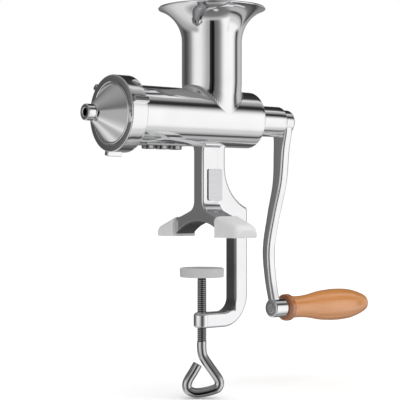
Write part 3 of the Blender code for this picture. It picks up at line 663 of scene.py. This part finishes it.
def make_drains():
    """A saddle strip under the barrel, with an oval spout round each slot."""
    low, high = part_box("juice_outlet")
    strip_low = AXIS_HEIGHT - BARREL_R - 0.6 * MM
    deselect()
    size = Vector((high.x - low.x, high.y - low.y, 5.5 * MM))
    place = Vector(((low.x + high.x) / 2, 0.0, strip_low + size.z / 2))
    bpy.ops.mesh.primitive_cube_add(size=1.0, location=place)
    bpy.context.object.scale = size
    strip = settle(bpy.context.object, "drain_strip")
    edit(strip)
    bpy.ops.mesh.bevel(offset=1.2 * MM, segments=4, affect="EDGES")
    leave()
    rim = 2.0 * MM
    spouts = []
    for x in DRAIN_XS:
        place = Vector((x, 0.0, low.z + 3 * MM))
        squash = (DRAIN_HALF_Y + rim) / (DRAIN_HALF_X + rim)
        spout = hidden_rod(place, DRAIN_HALF_X + rim, 6 * MM, 48, squash)
        edit(spout, "DESELECT")
        leave()
        for face in spout.data.polygons:
            face.select = face.normal.z < -0.9
        bpy.ops.object.mode_set(mode="EDIT")
        bpy.ops.mesh.bevel(offset=0.6 * MM, segments=3, affect="EDGES")
        leave()
        spouts.append(spout)
    for spout in spouts:
        cut(strip, spout, "UNION")
    for x in DRAIN_XS:
        place = Vector((x, 0.0, low.z + 4 * MM))
        cut(strip, hidden_rod(place, DRAIN_HALF_X, 30 * MM, 48, DRAIN_HALF_Y / DRAIN_HALF_X))
    return smooth(strip)


# ---------------------------------------------------------------- ring, cap and nozzle


def make_lock_ring():
    low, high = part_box("lock_ring")
    outer = 37.4 * MM
    bore = 34.0 * MM
    lip = 30.4 * MM
    lip_x = low.x + 2.9 * MM
    profile = [
        (high.x, bore),
        *arc(high.x - 1.0 * MM, outer - 1.0 * MM, 1.0 * MM, 0, 90, 5),
        *steps(high.x - 1.0 * MM, low.x + 1.2 * MM, 4, outer),
        *arc(low.x + 1.2 * MM, outer - 1.2 * MM, 1.2 * MM, 90, 180, 6)[1:],
        (low.x, lip + 0.5 * MM),
        (low.x + 0.5 * MM, lip),
        (lip_x, lip),
        (lip_x, bore),
        (high.x, bore),
    ]
    ring = turned("screw_ring", profile, hollow=True)
    lugs = [make_lug(angle, low.x, high.x, outer) for angle in (17, 137, 257)]
    return join("screw_ring", ring, *lugs)


def make_lug(angle, low_x, high_x, outer):
    """One of the three grip lugs, at an angle from the near side towards the top."""
    width = 5.8 * MM
    proud = 4.3 * MM
    inner = outer - 2 * MM
    place = Vector(((low_x + high_x) / 2, 0.0, (inner + outer + proud) / 2))
    deselect()
    bpy.ops.mesh.primitive_cube_add(size=1.0, location=place)
    bpy.context.object.scale = (high_x - low_x - 1.2 * MM, width, outer + proud - inner)
    lug = settle(bpy.context.object, "lug")
    edit(lug)
    bpy.ops.mesh.bevel(offset=0.9 * MM, segments=4, affect="EDGES")
    leave()
    turn = Matrix.Rotation(math.radians(90 - angle), 4, "X")
    lug.matrix_world = Matrix.Translation(BARREL_LINE) @ turn
    settle(lug, "lug")
    return smooth(lug, 35.0, weighted=True)


def make_end_cap():
    low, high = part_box("end_cap")
    ring_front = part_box("lock_ring")[0].x
    flange_r = 33.2 * MM
    bead_r = 29.9 * MM
    tip_r = 8.6 * MM
    step_x = high.x - 1.8 * MM
    stem_r = 6.2 * MM
    bead_x = ring_front + 0.9 * MM
    cone_r = bead_r - 1.6 * MM
    profile = [
        (high.x, bead_r - 4.2 * MM),
        (high.x, flange_r),
        (step_x, flange_r),
        (step_x, bead_r),
        *arc(bead_x, bead_r - 1.0 * MM, 1.0 * MM, 90, 200, 8),
        (bead_x - 0.5 * MM, cone_r),
        *slope(bead_x - 0.6 * MM, cone_r - 0.5 * MM, low.x + 0.9 * MM, tip_r, 12),
        (low.x + 0.3 * MM, tip_r - 0.25 * MM),
        (low.x, tip_r - 0.8 * MM),
        (low.x, stem_r),
        (low.x + 2 * MM, stem_r),
        (step_x - 0.8 * MM, bead_r - 4.2 * MM),
        (high.x, bead_r - 4.2 * MM),
    ]
    return turned("cone_cap", profile, hollow=True, degrees=30.0)


def slope(start, start_r, end, end_r, count):
    """Evenly spaced rings along a cone."""
    rings = []
    for i in range(count + 1):
        share = i / count
        rings.append((start + (end - start) * share, start_r + (end_r - start_r) * share))
    return rings


def make_nozzle():
    low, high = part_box("pulp_nozzle")
    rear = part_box("end_cap")[0].x - 0.3 * MM
    outer = 8.0 * MM
    bore = 3.9 * MM
    stem = 5.9 * MM
    profile = [
        (high.x, stem),
        (rear, stem),
        (rear, outer - 0.5 * MM),
        (rear - 0.5 * MM, outer),
        *arc(low.x + 1.0 * MM, outer - 1.0 * MM, 1.0 * MM, 90, 180, 5),
        (low.x, bore + 0.8 * MM),
        *arc(low.x + 0.8 * MM, bore + 0.8 * MM, 0.8 * MM, 180, 270, 4)[1:],
        (high.x, bore),
        (high.x, stem),
    ]
    return turned("pulp_spout", profile, sides=SMALL_SIDES, hollow=True)


# ---------------------------------------------------------------- crank and grip


ARM_STATIONS = (  # height, sideways offset and width of the arm
    (116.0 * MM, 0.0 * MM, 23.0 * MM),
    (108.0 * MM, 0.0 * MM, 21.4 * MM),
    (100.0 * MM, 0.6 * MM, 18.8 * MM),
    (88.0 * MM, 1.8 * MM, 16.8 * MM),
    (56.0 * MM, 4.6 * MM, 14.4 * MM),
    (22.0 * MM, 14.2 * MM, 12.8 * MM),
    (-14.0 * MM, 22.2 * MM, 11.6 * MM),
    (-46.0 * MM, 19.6 * MM, 10.6 * MM),
    (-74.0 * MM, 12.8 * MM, 10.0 * MM),
)


def make_crank():
    """The hub, the S-shaped arm and the eye for the grip, as one forging."""
    low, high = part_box("crank_arm")
    hub_r = 12.9 * MM
    hub_end = 117.4 * MM
    hub_bore_r = 6.2 * MM
    sink_r = 6.9 * MM  # the pocket that the hub screw's head lies in
    sink_x = hub_end - 4.5 * MM
    arm_x = 109.4 * MM
    arm_half = 5.2 * MM
    arm_edge = 2.8 * MM
    face = low.x
    stations = through(ARM_STATIONS, 8)
    side = [(y + width / 2, z) for z, y, width in stations]
    other = [(y - width / 2, z) for z, y, width in stations]
    upright = Matrix(((0, 0, 1, arm_x), (1, 0, 0, 0), (0, 1, 0, 0), (0, 0, 0, 1)))
    arm = flat_plate("crank", [*other, *reversed(side)], arm_half, arm_edge, upright, 6)
    hub = turned(
        "hub",
        [
            (sink_x, sink_r),
            (hub_end - 0.3 * MM, sink_r),
            (hub_end, sink_r + 0.3 * MM),
            *arc(hub_end - 3.5 * MM, hub_r - 3.5 * MM, 3.5 * MM, 0, 90, 10),
            (face + 0.5 * MM, hub_r),
            (face, hub_r - 0.5 * MM),
            (face, hub_bore_r),
            (sink_x, hub_bore_r),
            (sink_x, sink_r),
        ],
        sides=96,
        hollow=True,
    )
    eye_r = 9.9 * MM
    eye = turned(
        "eye",
        [
            (high.x, 4.0 * MM),
            (high.x, eye_r - 0.8 * MM),
            (high.x - 0.8 * MM, eye_r),
            *arc(face + 1.6 * MM, eye_r - 1.6 * MM, 1.6 * MM, 90, 180, 6),
            (face, BOLT_BORE_R),
            (high.x, BOLT_BORE_R),
            (high.x, 4.0 * MM),
        ],
        EYE_LINE,
        sides=96,
        hollow=True,
    )
    return join("crank_forging", arm, hub, eye)


def make_hub_screw():
    """A cheese-head screw with a hexagon socket, sunk in the hub."""
    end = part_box("hub_screw")[1].x
    head_r = 6.5 * MM
    head_edge = 0.9 * MM
    socket_r = 2.9 * MM
    screw = turned(
        "hub_screw_head",
        [
            (end - 4.0 * MM, 2.5 * MM),
            (end - 3.9 * MM, head_r),
            *arc(end - head_edge, head_r - head_edge, head_edge, 90, 0, 5),
        ],
        sides=SMALL_SIDES,
    )
    place = BARREL_LINE + AXIS_X * end
    cut(screw, hidden_rod(place, socket_r, 4.4 * MM, 6, turn=LYING))
    return smooth(screw)


def make_rivet():
    """The grip's bolt: riveted over rings at the crank, a round head in the grip's end."""
    low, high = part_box("grip_bolt")
    return turned(
        "grip_rivet",
        [
            (low.x, 1.2 * MM),
            (low.x + 0.1 * MM, 2.4 * MM),
            (low.x + 0.6 * MM, 2.8 * MM),
            (low.x + 0.5 * MM, 3.5 * MM),
            (low.x + 0.5 * MM, 4.6 * MM),
            (low.x + 0.8 * MM, 5.0 * MM),
            (low.x + 1.2 * MM, 5.0 * MM),
            (low.x + 1.2 * MM, 3.2 * MM),
            (high.x - 4.0 * MM, 3.2 * MM),
            (high.x - 4.0 * MM, 4.4 * MM),
            (high.x - 1.2 * MM, 4.4 * MM),
            *arc(high.x - 1.2 * MM, 3.2 * MM, 1.2 * MM, 90, 10, 5),
            (high.x, 2.0 * MM),
        ],
        EYE_LINE,
        sides=48,
    )


GRIP_STATIONS = (  # place behind the collar's face, and radius
    (7.1 * MM, 12.4 * MM),
    (15.7 * MM, 11.6 * MM),
    (25.7 * MM, 11.8 * MM),
    (33.7 * MM, 12.6 * MM),
    (41.7 * MM, 13.9 * MM),
    (49.7 * MM, 15.4 * MM),
    (58.7 * MM, 16.5 * MM),
    (75.7 * MM, 17.38 * MM),
    (92.7 * MM, 16.5 * MM),
    (103.7 * MM, 14.4 * MM),
    (112.7 * MM, 11.7 * MM),
    (118.7 * MM, 9.3 * MM),
    (121.2 * MM, 7.4 * MM),
)


def make_grip():
    """The turned wooden handle: a collar, a neck and a swelling."""
    low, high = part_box("wooden_grip")
    collar_r = 14.4 * MM
    collar_x = low.x + 6.3 * MM
    sink_r = 4.8 * MM  # the pocket that the bolt's head lies in
    sink_x = high.x - 4.9 * MM
    body = through([(low.x + along, radius) for along, radius in GRIP_STATIONS], 6)
    profile = [
        (low.x, BOLT_BORE_R),
        (low.x, collar_r - 1.8 * MM),
        *arc(low.x + 1.8 * MM, collar_r - 1.8 * MM, 1.8 * MM, 180, 90, 6)[1:],
        *arc(collar_x - 1.2 * MM, collar_r - 1.2 * MM, 1.2 * MM, 90, 0, 5),
        (collar_x + 0.15 * MM, 12.6 * MM),
        *body,
        (high.x - 0.35 * MM, 6.2 * MM),
        (high.x, 5.4 * MM),
        (high.x, sink_r),
        (sink_x, sink_r),
        (sink_x, BOLT_BORE_R),
        (low.x, BOLT_BORE_R),
    ]
    return turned("turned_handle", profile, EYE_LINE, sides=96, hollow=True, degrees=35.0)


# ---------------------------------------------------------------- clamp


def side_outline():
    """The clamp seen from the side: the back of the leg, spine and lower jaw."""
    leg_rear = 24.75 * MM
    curve_r = 45.4 * MM
    throat_top = 18.0 * MM
    throat_r = 10.0 * MM
    jaw_r = 14.0 * MM
    hidden_top = AXIS_HEIGHT - 20 * MM  # past the barrel's wall, and cut back later
    sweep_end = 180 + math.degrees(math.acos((curve_r + leg_rear - 53.6 * MM) / curve_r))
    cover = 3.0 * MM
    heel_x, heel_z = 31.0 * MM, 34.0 * MM
    return [
        (12.0 * MM, hidden_top),
        (12.0 * MM, throat_top),
        *arc(SPINE_FRONT - throat_r, throat_top - throat_r, throat_r, 90, 0, 16),
        *arc(SPINE_FRONT - jaw_r, JAW_TOP + jaw_r, jaw_r, 0, -90, 20),
        (0.0, JAW_TOP),
        (0.0, JAW_LOW),
        *arc(CLAMP_REAR - heel_x, JAW_LOW + heel_z, heel_x, -90, 0, 28, heel_z),
        (CLAMP_REAR, 26.0 * MM),
        *arc(leg_rear + curve_r, 72.0 * MM, curve_r, sweep_end, 180, 28),
        *arc(leg_rear + cover, AXIS_HEIGHT - BARREL_R - 2.4 * MM, cover, 180, 90, 6),
        (leg_rear + cover, hidden_top),
    ]


def limb_outline(knees, shoulder):
    """One limb, from the leg's collar down and out to its tenon's low corner."""
    y, z = shoulder
    cover = 3.0 * MM
    fillet = 11.0 * MM
    tip = 61.5 * MM
    root_y = NEAR_SHOULDER[0]
    tenon_top = 18.0 * MM - (y - root_y) / (tip - root_y) * 9.8 * MM
    return [
        (PLATE_HALF + cover, AXIS_HEIGHT - 22 * MM),
        (PLATE_HALF + cover, AXIS_HEIGHT - BARREL_R + 1.2 * MM),
        *arc(PLATE_HALF + cover, AXIS_HEIGHT - BARREL_R - 2.4 * MM, cover, 100, 180, 6),
        (PLATE_HALF - 0.5 * MM, AXIS_HEIGHT - BARREL_R - 4.4 * MM),
        *arc(PLATE_HALF - 0.5 * MM + fillet, 36.6 * MM, fillet, 180, 250, 14),
        *knees,
        shoulder,
        (y, tenon_top),
        (tip, 8.2 * MM),
        (tip, TENON_LOW),
    ]


def front_outline():
    """Leg and limbs seen from the front: fillets, tenons for the caps, and the arch."""
    foot = math.degrees(math.asin((TENON_LOW - ARCH_CENTRE) / ARCH_R))
    far = limb_outline([(29.7 * MM, 21.3 * MM)], FAR_SHOULDER)
    near = [(-y, z) for y, z in reversed(limb_outline([], NEAR_SHOULDER))]
    arch = arc(0.0, ARCH_CENTRE, ARCH_R, foot, 180 - foot, 36)
    return [*far, *arch, *near]


def make_clamp():
    """The leg, its limbs and the C-shaped spine, cast in one."""
    edge = 3.0 * MM
    side = Matrix(((1, 0, 0, 0), (0, 0, -1, 0), (0, 1, 0, 0), (0, 0, 0, 1)))
    spine = flat_plate("clamp_casting", side_outline(), PLATE_HALF, edge, side, 9)
    middle_x = (LIMB_FRONT + LIMB_REAR) / 2
    front = Matrix(((0, 0, 1, middle_x), (1, 0, 0, 0), (0, 1, 0, 0), (0, 0, 0, 1)))
    limbs = flat_plate("limbs", front_outline(), (LIMB_REAR - LIMB_FRONT) / 2, 2.0 * MM, front, 9)
    past = 0.02 * MM  # keeps the nose's faces clear of the jaw's flat ones
    top, low = JAW_TOP + past, JAW_LOW - past
    radius = PLATE_HALF + past
    nose = turned(
        "nose",
        [
            (low, radius - edge),
            *[(z, r) for r, z in arc(radius - edge, low + edge, edge, 270, 360, 8)][1:],
            *[(z, r) for r, z in arc(radius - edge, top - edge, edge, 0, 90, 8)],
        ],
        ORIGIN,
        AXIS_Z,
        SMALL_SIDES,
    )
    cut(spine, limbs, "UNION")
    cut(spine, nose, "UNION")
    saddle_r = 27.6 * MM  # the leg's top is cut to end inside the barrel's wall
    cut(spine, hidden_rod(BARREL_LINE, saddle_r, 400 * MM, SIDES, turn=LYING))
    return smooth(spine, 12.0, weighted=True)


def make_foot_cap(name, node, side):
    """A soft wedge-shaped cap: a block, sloped to its toe, with a rounded back."""
    low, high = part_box(node)
    size = high - low
    place = (low + high) / 2
    toe_narrowing = 14.2 / 15.1
    toe_lowering = 11.0 * MM / size.z
    deselect()
    bpy.ops.mesh.primitive_cube_add(size=1.0, location=place)
    bpy.context.object.scale = size
    cap = settle(bpy.context.object, name)
    edit(cap, "DESELECT")
    leave()
    toe_y = low.y if side < 0 else high.y
    for vert in cap.data.vertices:
        vert.select = abs(vert.co.y - toe_y) < 1 * MM
    bpy.ops.object.mode_set(mode="EDIT")
    bpy.ops.transform.resize(
        value=(toe_narrowing, 1.0, toe_lowering), center_override=(place.x, toe_y, 0.0)
    )
    leave()
    for edge in cap.data.edges:
        ends = [cap.data.vertices[i].co for i in edge.vertices]
        along = abs(ends[0].x - ends[1].x) < 3 * MM
        edge.select = along and min(e.z for e in ends) > 5 * MM
    bpy.ops.object.mode_set(mode="EDIT")
    bpy.ops.mesh.select_mode(type="EDGE")
    bpy.ops.mesh.bevel(offset=7.0 * MM, segments=14, affect="EDGES")
    leave()
    bevel = cap.modifiers.new("edges", "BEVEL")
    bevel.width = 1.1 * MM
    bevel.segments = 5
    bevel.limit_method = "ANGLE"
    bevel.angle_limit = math.radians(50.0)
    bpy.ops.object.modifier_apply(modifier=bevel.name)
    return smooth(cap, 40.0, weighted=True)


def make_pad():
    """The turned white pad that presses on the table from below."""
    low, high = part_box("pad_cap")
    radius = 22.5 * MM
    pocket_r = 16.0 * MM
    profile = [
        (high.z, radius - 2.6 * MM),
        *[(z, r) for r, z in arc(radius - 1.8 * MM, high.z - 1.9 * MM, 1.8 * MM, 88, 0, 8)],
        (high.z - 5 * MM, radius - 0.1 * MM),
        *[(z, r) for r, z in arc(radius - 1.4 * MM, low.z + 1.2 * MM, 1.2 * MM, 0, -90, 6)],
        (low.z, pocket_r + 0.4 * MM),
        (low.z + 0.4 * MM, pocket_r),
        (low.z + 5.8 * MM, pocket_r),
    ]
    return turned("press_pad", profile, ORIGIN, AXIS_Z, 96)


def make_pad_plate():
    """The steel disc in the pad, with a hole for the clamp screw's spigot."""
    low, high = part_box("pad_plate")
    radius = 15.7 * MM
    hole_r = 3.1 * MM
    profile = [
        (low.z, hole_r),
        (low.z, radius - 0.5 * MM),
        (low.z + 0.5 * MM, radius),
        (high.z, radius),
        (high.z, hole_r),
        (low.z, hole_r),
    ]
    return turned("pad_back", profile, ORIGIN, AXIS_Z, 96, hollow=True)


LOOP_ROUTE = (  # sideways offset and height of the rod's bent end
    (0.0 * MM, -106.0 * MM),
    (0.0 * MM, -111.8 * MM),
    (1.1 * MM, -120.0 * MM),
    (5.8 * MM, -128.0 * MM),
    (12.0 * MM, -136.8 * MM),
    (16.8 * MM, -144.1 * MM),
    (17.8 * MM, -149.0 * MM),
    (15.6 * MM, -153.2 * MM),
    (10.9 * MM, -155.2 * MM),
    (3.6 * MM, -157.1 * MM),
    (-4.9 * MM, -158.2 * MM),
    (-10.4 * MM, -157.2 * MM),
    (-14.2 * MM, -154.2 * MM),
    (-15.0 * MM, -149.6 * MM),
    (-13.2 * MM, -144.2 * MM),
    (-8.5 * MM, -136.6 * MM),
    (-4.2 * MM, -129.0 * MM),
)


def make_screw():
    """The clamp screw: a spigot, a rolled thread, and the rod bent into a loop."""
    radius = 4.9 * MM
    core_r = 4.2 * MM
    spigot_r = 2.8 * MM
    turn = math.radians(-38)
    thread_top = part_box("pad_plate")[0].z - 0.3 * MM
    route = [(u * math.cos(turn), u * math.sin(turn), z) for u, z in through(LOOP_ROUTE, 6)]
    bend = drawn_rod("bend", route, radius, 32)
    core = turned(
        "core",
        [
            (-110.0 * MM, core_r),
            (thread_top - 0.8 * MM, core_r),
            (thread_top, 3.6 * MM),
            (thread_top + 0.05 * MM, spigot_r),
            (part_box("clamp_screw")[1].z, spigot_r),
        ],
        ORIGIN,
        AXIS_Z,
        32,
    )
    thread = make_thread(radius, thread_top - 0.8 * MM, -108.6 * MM)
    return join("threaded_rod", bend, core, thread)


def make_thread(crest, top, bottom):
    """One tooth's outline, carried round and up the rod by the Screw modifier."""
    pitch = 2.0 * MM
    root = crest - 0.9 * MM
    mesh = bpy.data.meshes.new("thread")
    tooth = [
        (root, 0.0),
        (root, pitch * 0.25),
        (crest - 0.1 * MM, pitch * 0.5),
        (crest, pitch * 0.6),
        (crest, pitch * 0.75),
        (root, pitch),
    ]
    mesh.from_pydata([(r, 0.0, z) for r, z in tooth], [(i, i + 1) for i in range(len(tooth) - 1)], [])
    obj = bpy.data.objects.new("thread", mesh)
    bpy.context.scene.collection.objects.link(obj)
    pick(obj)
    screw = obj.modifiers.new("turns", "SCREW")
    screw.steps = 32
    screw.render_steps = 32
    screw.iterations = int((top - bottom) / pitch) - 1
    screw.screw_offset = pitch
    screw.use_merge_vertices = True
    screw.merge_threshold = 0.01 * MM
    bpy.ops.object.modifier_apply(modifier=screw.name)
    obj.location.z = bottom
    settle(obj, "thread")
    edit(obj)
    bpy.ops.mesh.remove_doubles(threshold=0.01 * MM)
    bpy.ops.mesh.normals_make_consistent(inside=False)
    leave()
    return smooth(obj, 40.0)


def make_label():
    """A blank rounded panel on the leg's near side."""
    low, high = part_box("name_plate")
    half_x = (high.x - low.x) / 2
    half_z = (high.z - low.z) / 2
    corner = 2.0 * MM
    outline = []
    for sign_x, sign_z, start in ((1, 1, 0), (-1, 1, 90), (-1, -1, 180), (1, -1, 270)):
        outline += arc(sign_x * (half_x - corner), sign_z * (half_z - corner), corner, start, start + 90, 8)
    place = Matrix(
        (
            (1, 0, 0, (low.x + high.x) / 2),
            (0, 0, -1, (low.y + high.y) / 2),
            (0, 1, 0, (low.z + high.z) / 2),
            (0, 0, 0, 1),
        )
    )
    return flat_plate("blank_panel", outline, (high.y - low.y) / 2, 0.2 * MM, place, 2)


# ---------------------------------------------------------------- room, light and camera


def make_floor():
    deselect()
    bpy.ops.mesh.primitive_plane_add(size=60.0, location=(0.0, 0.0, CAD_BOX[0].z - 0.6 * MM))
    floor = bpy.context.object
    floor.name = "floor"
    mix = Finish("pale floor", {"Roughness": 0.9, "Specular IOR Level": 0.0})
    mix.give("Base Color", mix.tint(mix.noise(3.0), (0.90, 0.90, 0.90), (0.92, 0.92, 0.92)))
    floor.data.materials.append(mix.material)
    floor.visible_glossy = False


AROUND = (  # brightness of the studio at eye level: azimuth in degrees, level
    (-180, 0.16),
    (-162, 0.07),
    (-148, 0.09),
    (-136, 0.20),
    (-125, 0.36),
    (-115, 0.72),
    (-105, 0.93),
    (-92, 0.98),
    (-80, 0.92),
    (-64, 0.63),
    (-56, 0.47),
    (-48.5, 0.45),
    (-45, 0.04),
    (-33, 0.0),
    (-29, 0.04),
    (-26, 0.15),
    (-14, 0.21),
    (-7, 0.34),
    (-2, 0.52),
    (5.5, 0.88),
    (14, 1.07),
    (45, 1.10),
    (56, 0.86),
    (62, 0.37),
    (68, 0.0),
    (75, 0.27),
    (82, 0.58),
    (99, 0.60),
    (111, 0.48),
    (142, 0.18),
    (180, 0.16),
)
OVER = (  # brightness over and under the barrel: angle round it from the near side, level
    (-180, 0.15),
    (-150, 0.25),
    (-135, 0.06),
    (-111, 0.20),
    (-99, 0.50),
    (-86, 0.52),
    (-80, 0.08),
    (-76, 0.08),
    (-71, 0.45),
    (-60, 0.72),
    (-50, 0.76),
    (-42, 1.0),
    (-34, 1.07),
    (15.6, 1.08),
    (23, 0.95),
    (27, 0.80),
    (31, 0.58),
    (35, 0.36),
    (39, 0.16),
    (43, 0.03),
    (51, 0.03),
    (56, 0.10),
    (60, 0.30),
    (69, 0.43),
    (74, 0.54),
    (78, 0.73),
    (83.5, 0.80),
    (89, 0.32),
    (94, 0.05),
    (137, 0.02),
    (165, 0.10),
    (180, 0.15),
)
LEFT_SIDE = (  # brightness towards the spout's end: height in degrees, level
    (-90, 0.15),
    (-66, 0.22),
    (-50, 0.80),
    (-38, 0.75),
    (-22, 0.45),
    (25, 0.18),
    (50, 0.30),
    (90, 0.45),
)


def make_studio_light():
    """White panels round the object, dark gaps between them, and a soft light above."""
    world = bpy.data.worlds.new("studio")
    bpy.context.scene.world = world
    world.use_nodes = True
    tree = world.node_tree
    tree.nodes.clear()
    place = tree.nodes.new("ShaderNodeTexCoord").outputs["Generated"]
    split = tree.nodes.new("ShaderNodeSeparateXYZ")
    tree.links.new(place, split.inputs[0])
    x, y, z = (Level(tree, socket) for socket in split.outputs)
    around = x.math("ARCTAN2", x, y * -1).ramp(AROUND)
    over = z.math("ARCTAN2", z, y * -1).ramp(OVER)
    left = z.math("ARCSINE", z).ramp(LEFT_SIDE)
    right = x.rise(0.40, 0.10)
    tall = over * right + left * (1 - right)
    front = (y * -1).rise(0.0, 0.15) * (1 - right) * (1 - z.rise(0.0, 0.1))
    steep = z.math("ABSOLUTE", z).rise(0.22, 0.10) * (1 - front) + front * (1 - z.rise(-0.80, 0.05))
    level = tall * steep + around * (1 - steep)
    seen = Level(tree, tree.nodes.new("ShaderNodeLightPath").outputs["Is Camera Ray"])
    shown = seen + (1 - seen) * level
    backdrop = tree.nodes.new("ShaderNodeBackground")
    backdrop.inputs["Color"].default_value = (1.0, 1.0, 1.0, 1.0)
    tree.links.new(shown.socket, backdrop.inputs["Strength"])
    out = tree.nodes.new("ShaderNodeOutputWorld")
    tree.links.new(backdrop.outputs[0], out.inputs[0])
    for name, turn, strength, angle in (
        ("top light", (0.0, 0.0, 0.0), 2.5, 120),
        ("key light", (math.radians(52), 0.0, math.radians(18)), 0.9, 60),
    ):
        sun = bpy.data.lights.new(name, "SUN")
        sun.energy = strength
        sun.angle = math.radians(angle)
        lamp = bpy.data.objects.new(name, sun)
        lamp.rotation_euler = turn
        lamp.visible_glossy = False
        bpy.context.scene.collection.objects.link(lamp)


def make_camera():
    data = bpy.data.cameras.new("camera")
    data.lens = 115.27
    data.sensor_width = 36.0
    data.clip_start = 0.05
    data.clip_end = 100.0
    camera = bpy.data.objects.new("camera", data)
    bpy.context.scene.collection.objects.link(camera)
    place = Vector((-800.9, -1023.5, 31.9)) * MM
    target = Vector((-2.3, 0.0, 37.5)) * MM
    camera.location = place
    camera.rotation_euler = (target - place).to_track_quat("-Z", "Y").to_euler()
    bpy.context.scene.camera = camera


# ---------------------------------------------------------------- all of it


def paint_node(node, finish):
    """Gives a kept CAD node its finish."""
    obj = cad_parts[node]
    obj.data.materials.clear()
    obj.data.materials.append(finish)


def main():
    steel = polished_steel()
    # the clamp's finish has painted shade under its arch and in its throat
    casting = polished_steel("buffed casting", 0.20, 1.4, painted_shade_in_arch_and_throat)
    forging = polished_steel("buffed forging", 0.10, 1.0)
    rolled = polished_steel("rolled steel", 0.05, 0.0, thread_shade, (0.55, 0.55, 0.56))
    # painted shade: the drain strip under the barrel gets a darker copy of the polished steel
    drain = polished_steel("drain steel in painted shade", 0.05, 0.0, None, (0.36, 0.36, 0.37))
    satin = satin_steel()
    inner = satin_steel("brushed inner steel", (0.42, 0.42, 0.43), 0.3)
    plastic = white_plastic()
    silicone = white_plastic("white silicone", (0.80, 0.81, 0.80), 0.45)
    pad_plastic = white_plastic("pad plastic", (0.47, 0.475, 0.47))
    wood = lacquered_wood()
    barrel = make_barrel()
    hopper = make_hopper(barrel)
    open_barrel(barrel)
    place_piece(barrel, "frame", steel, "polished_steel", "barrel")
    place_piece(hopper, "frame", steel, "polished_steel", "hopper")
    place_piece(make_drains(), "frame", drain, "polished_steel", "juice_outlet")
    place_piece(make_clamp(), "frame", casting, "polished_steel", "clamp_frame")
    place_piece(make_label(), "frame", satin, "satin_steel", "name_plate")
    for name, node, side in (
        ("foot_pad_near", "foot_cap_near", -1),
        ("foot_pad_far", "foot_cap_far", 1),
    ):
        place_piece(make_foot_cap(name, node, side), "frame", plastic, "white_plastic", node)
    place_piece(make_lock_ring(), "ring", steel, "polished_steel", "lock_ring")
    place_piece(make_end_cap(), "cap", steel, "polished_steel", "end_cap")
    place_piece(make_nozzle(), "cap", steel, "polished_steel", "pulp_nozzle")
    place_piece(make_crank(), "crank", forging, "polished_steel", "crank_arm")
    place_piece(make_hub_screw(), "crank", satin, "satin_steel", "hub_screw")
    place_piece(make_rivet(), "crank", satin, "satin_steel", "grip_bolt")
    handle = place_piece(make_grip(), "grip", wood, "lacquered_wood", "wooden_grip")
    handle.visible_glossy = False
    place_piece(make_pad(), "pad", pad_plastic, "white_plastic", "pad_cap")
    place_piece(make_pad_plate(), "pad", satin, "satin_steel", "pad_plate")
    place_piece(make_screw(), "screw", rolled, "polished_steel", "clamp_screw")
    for node in ("auger", "strainer", "thrust_washer", "grip_washer", "screw_clip"):
        paint_node(node, inner)
    paint_node("seal_ring", silicone)
    paint_node("rear_bush", plastic)
    make_floor()
    make_studio_light()
    make_camera()
    bpy.context.scene.view_settings.view_transform = "Standard"


main()
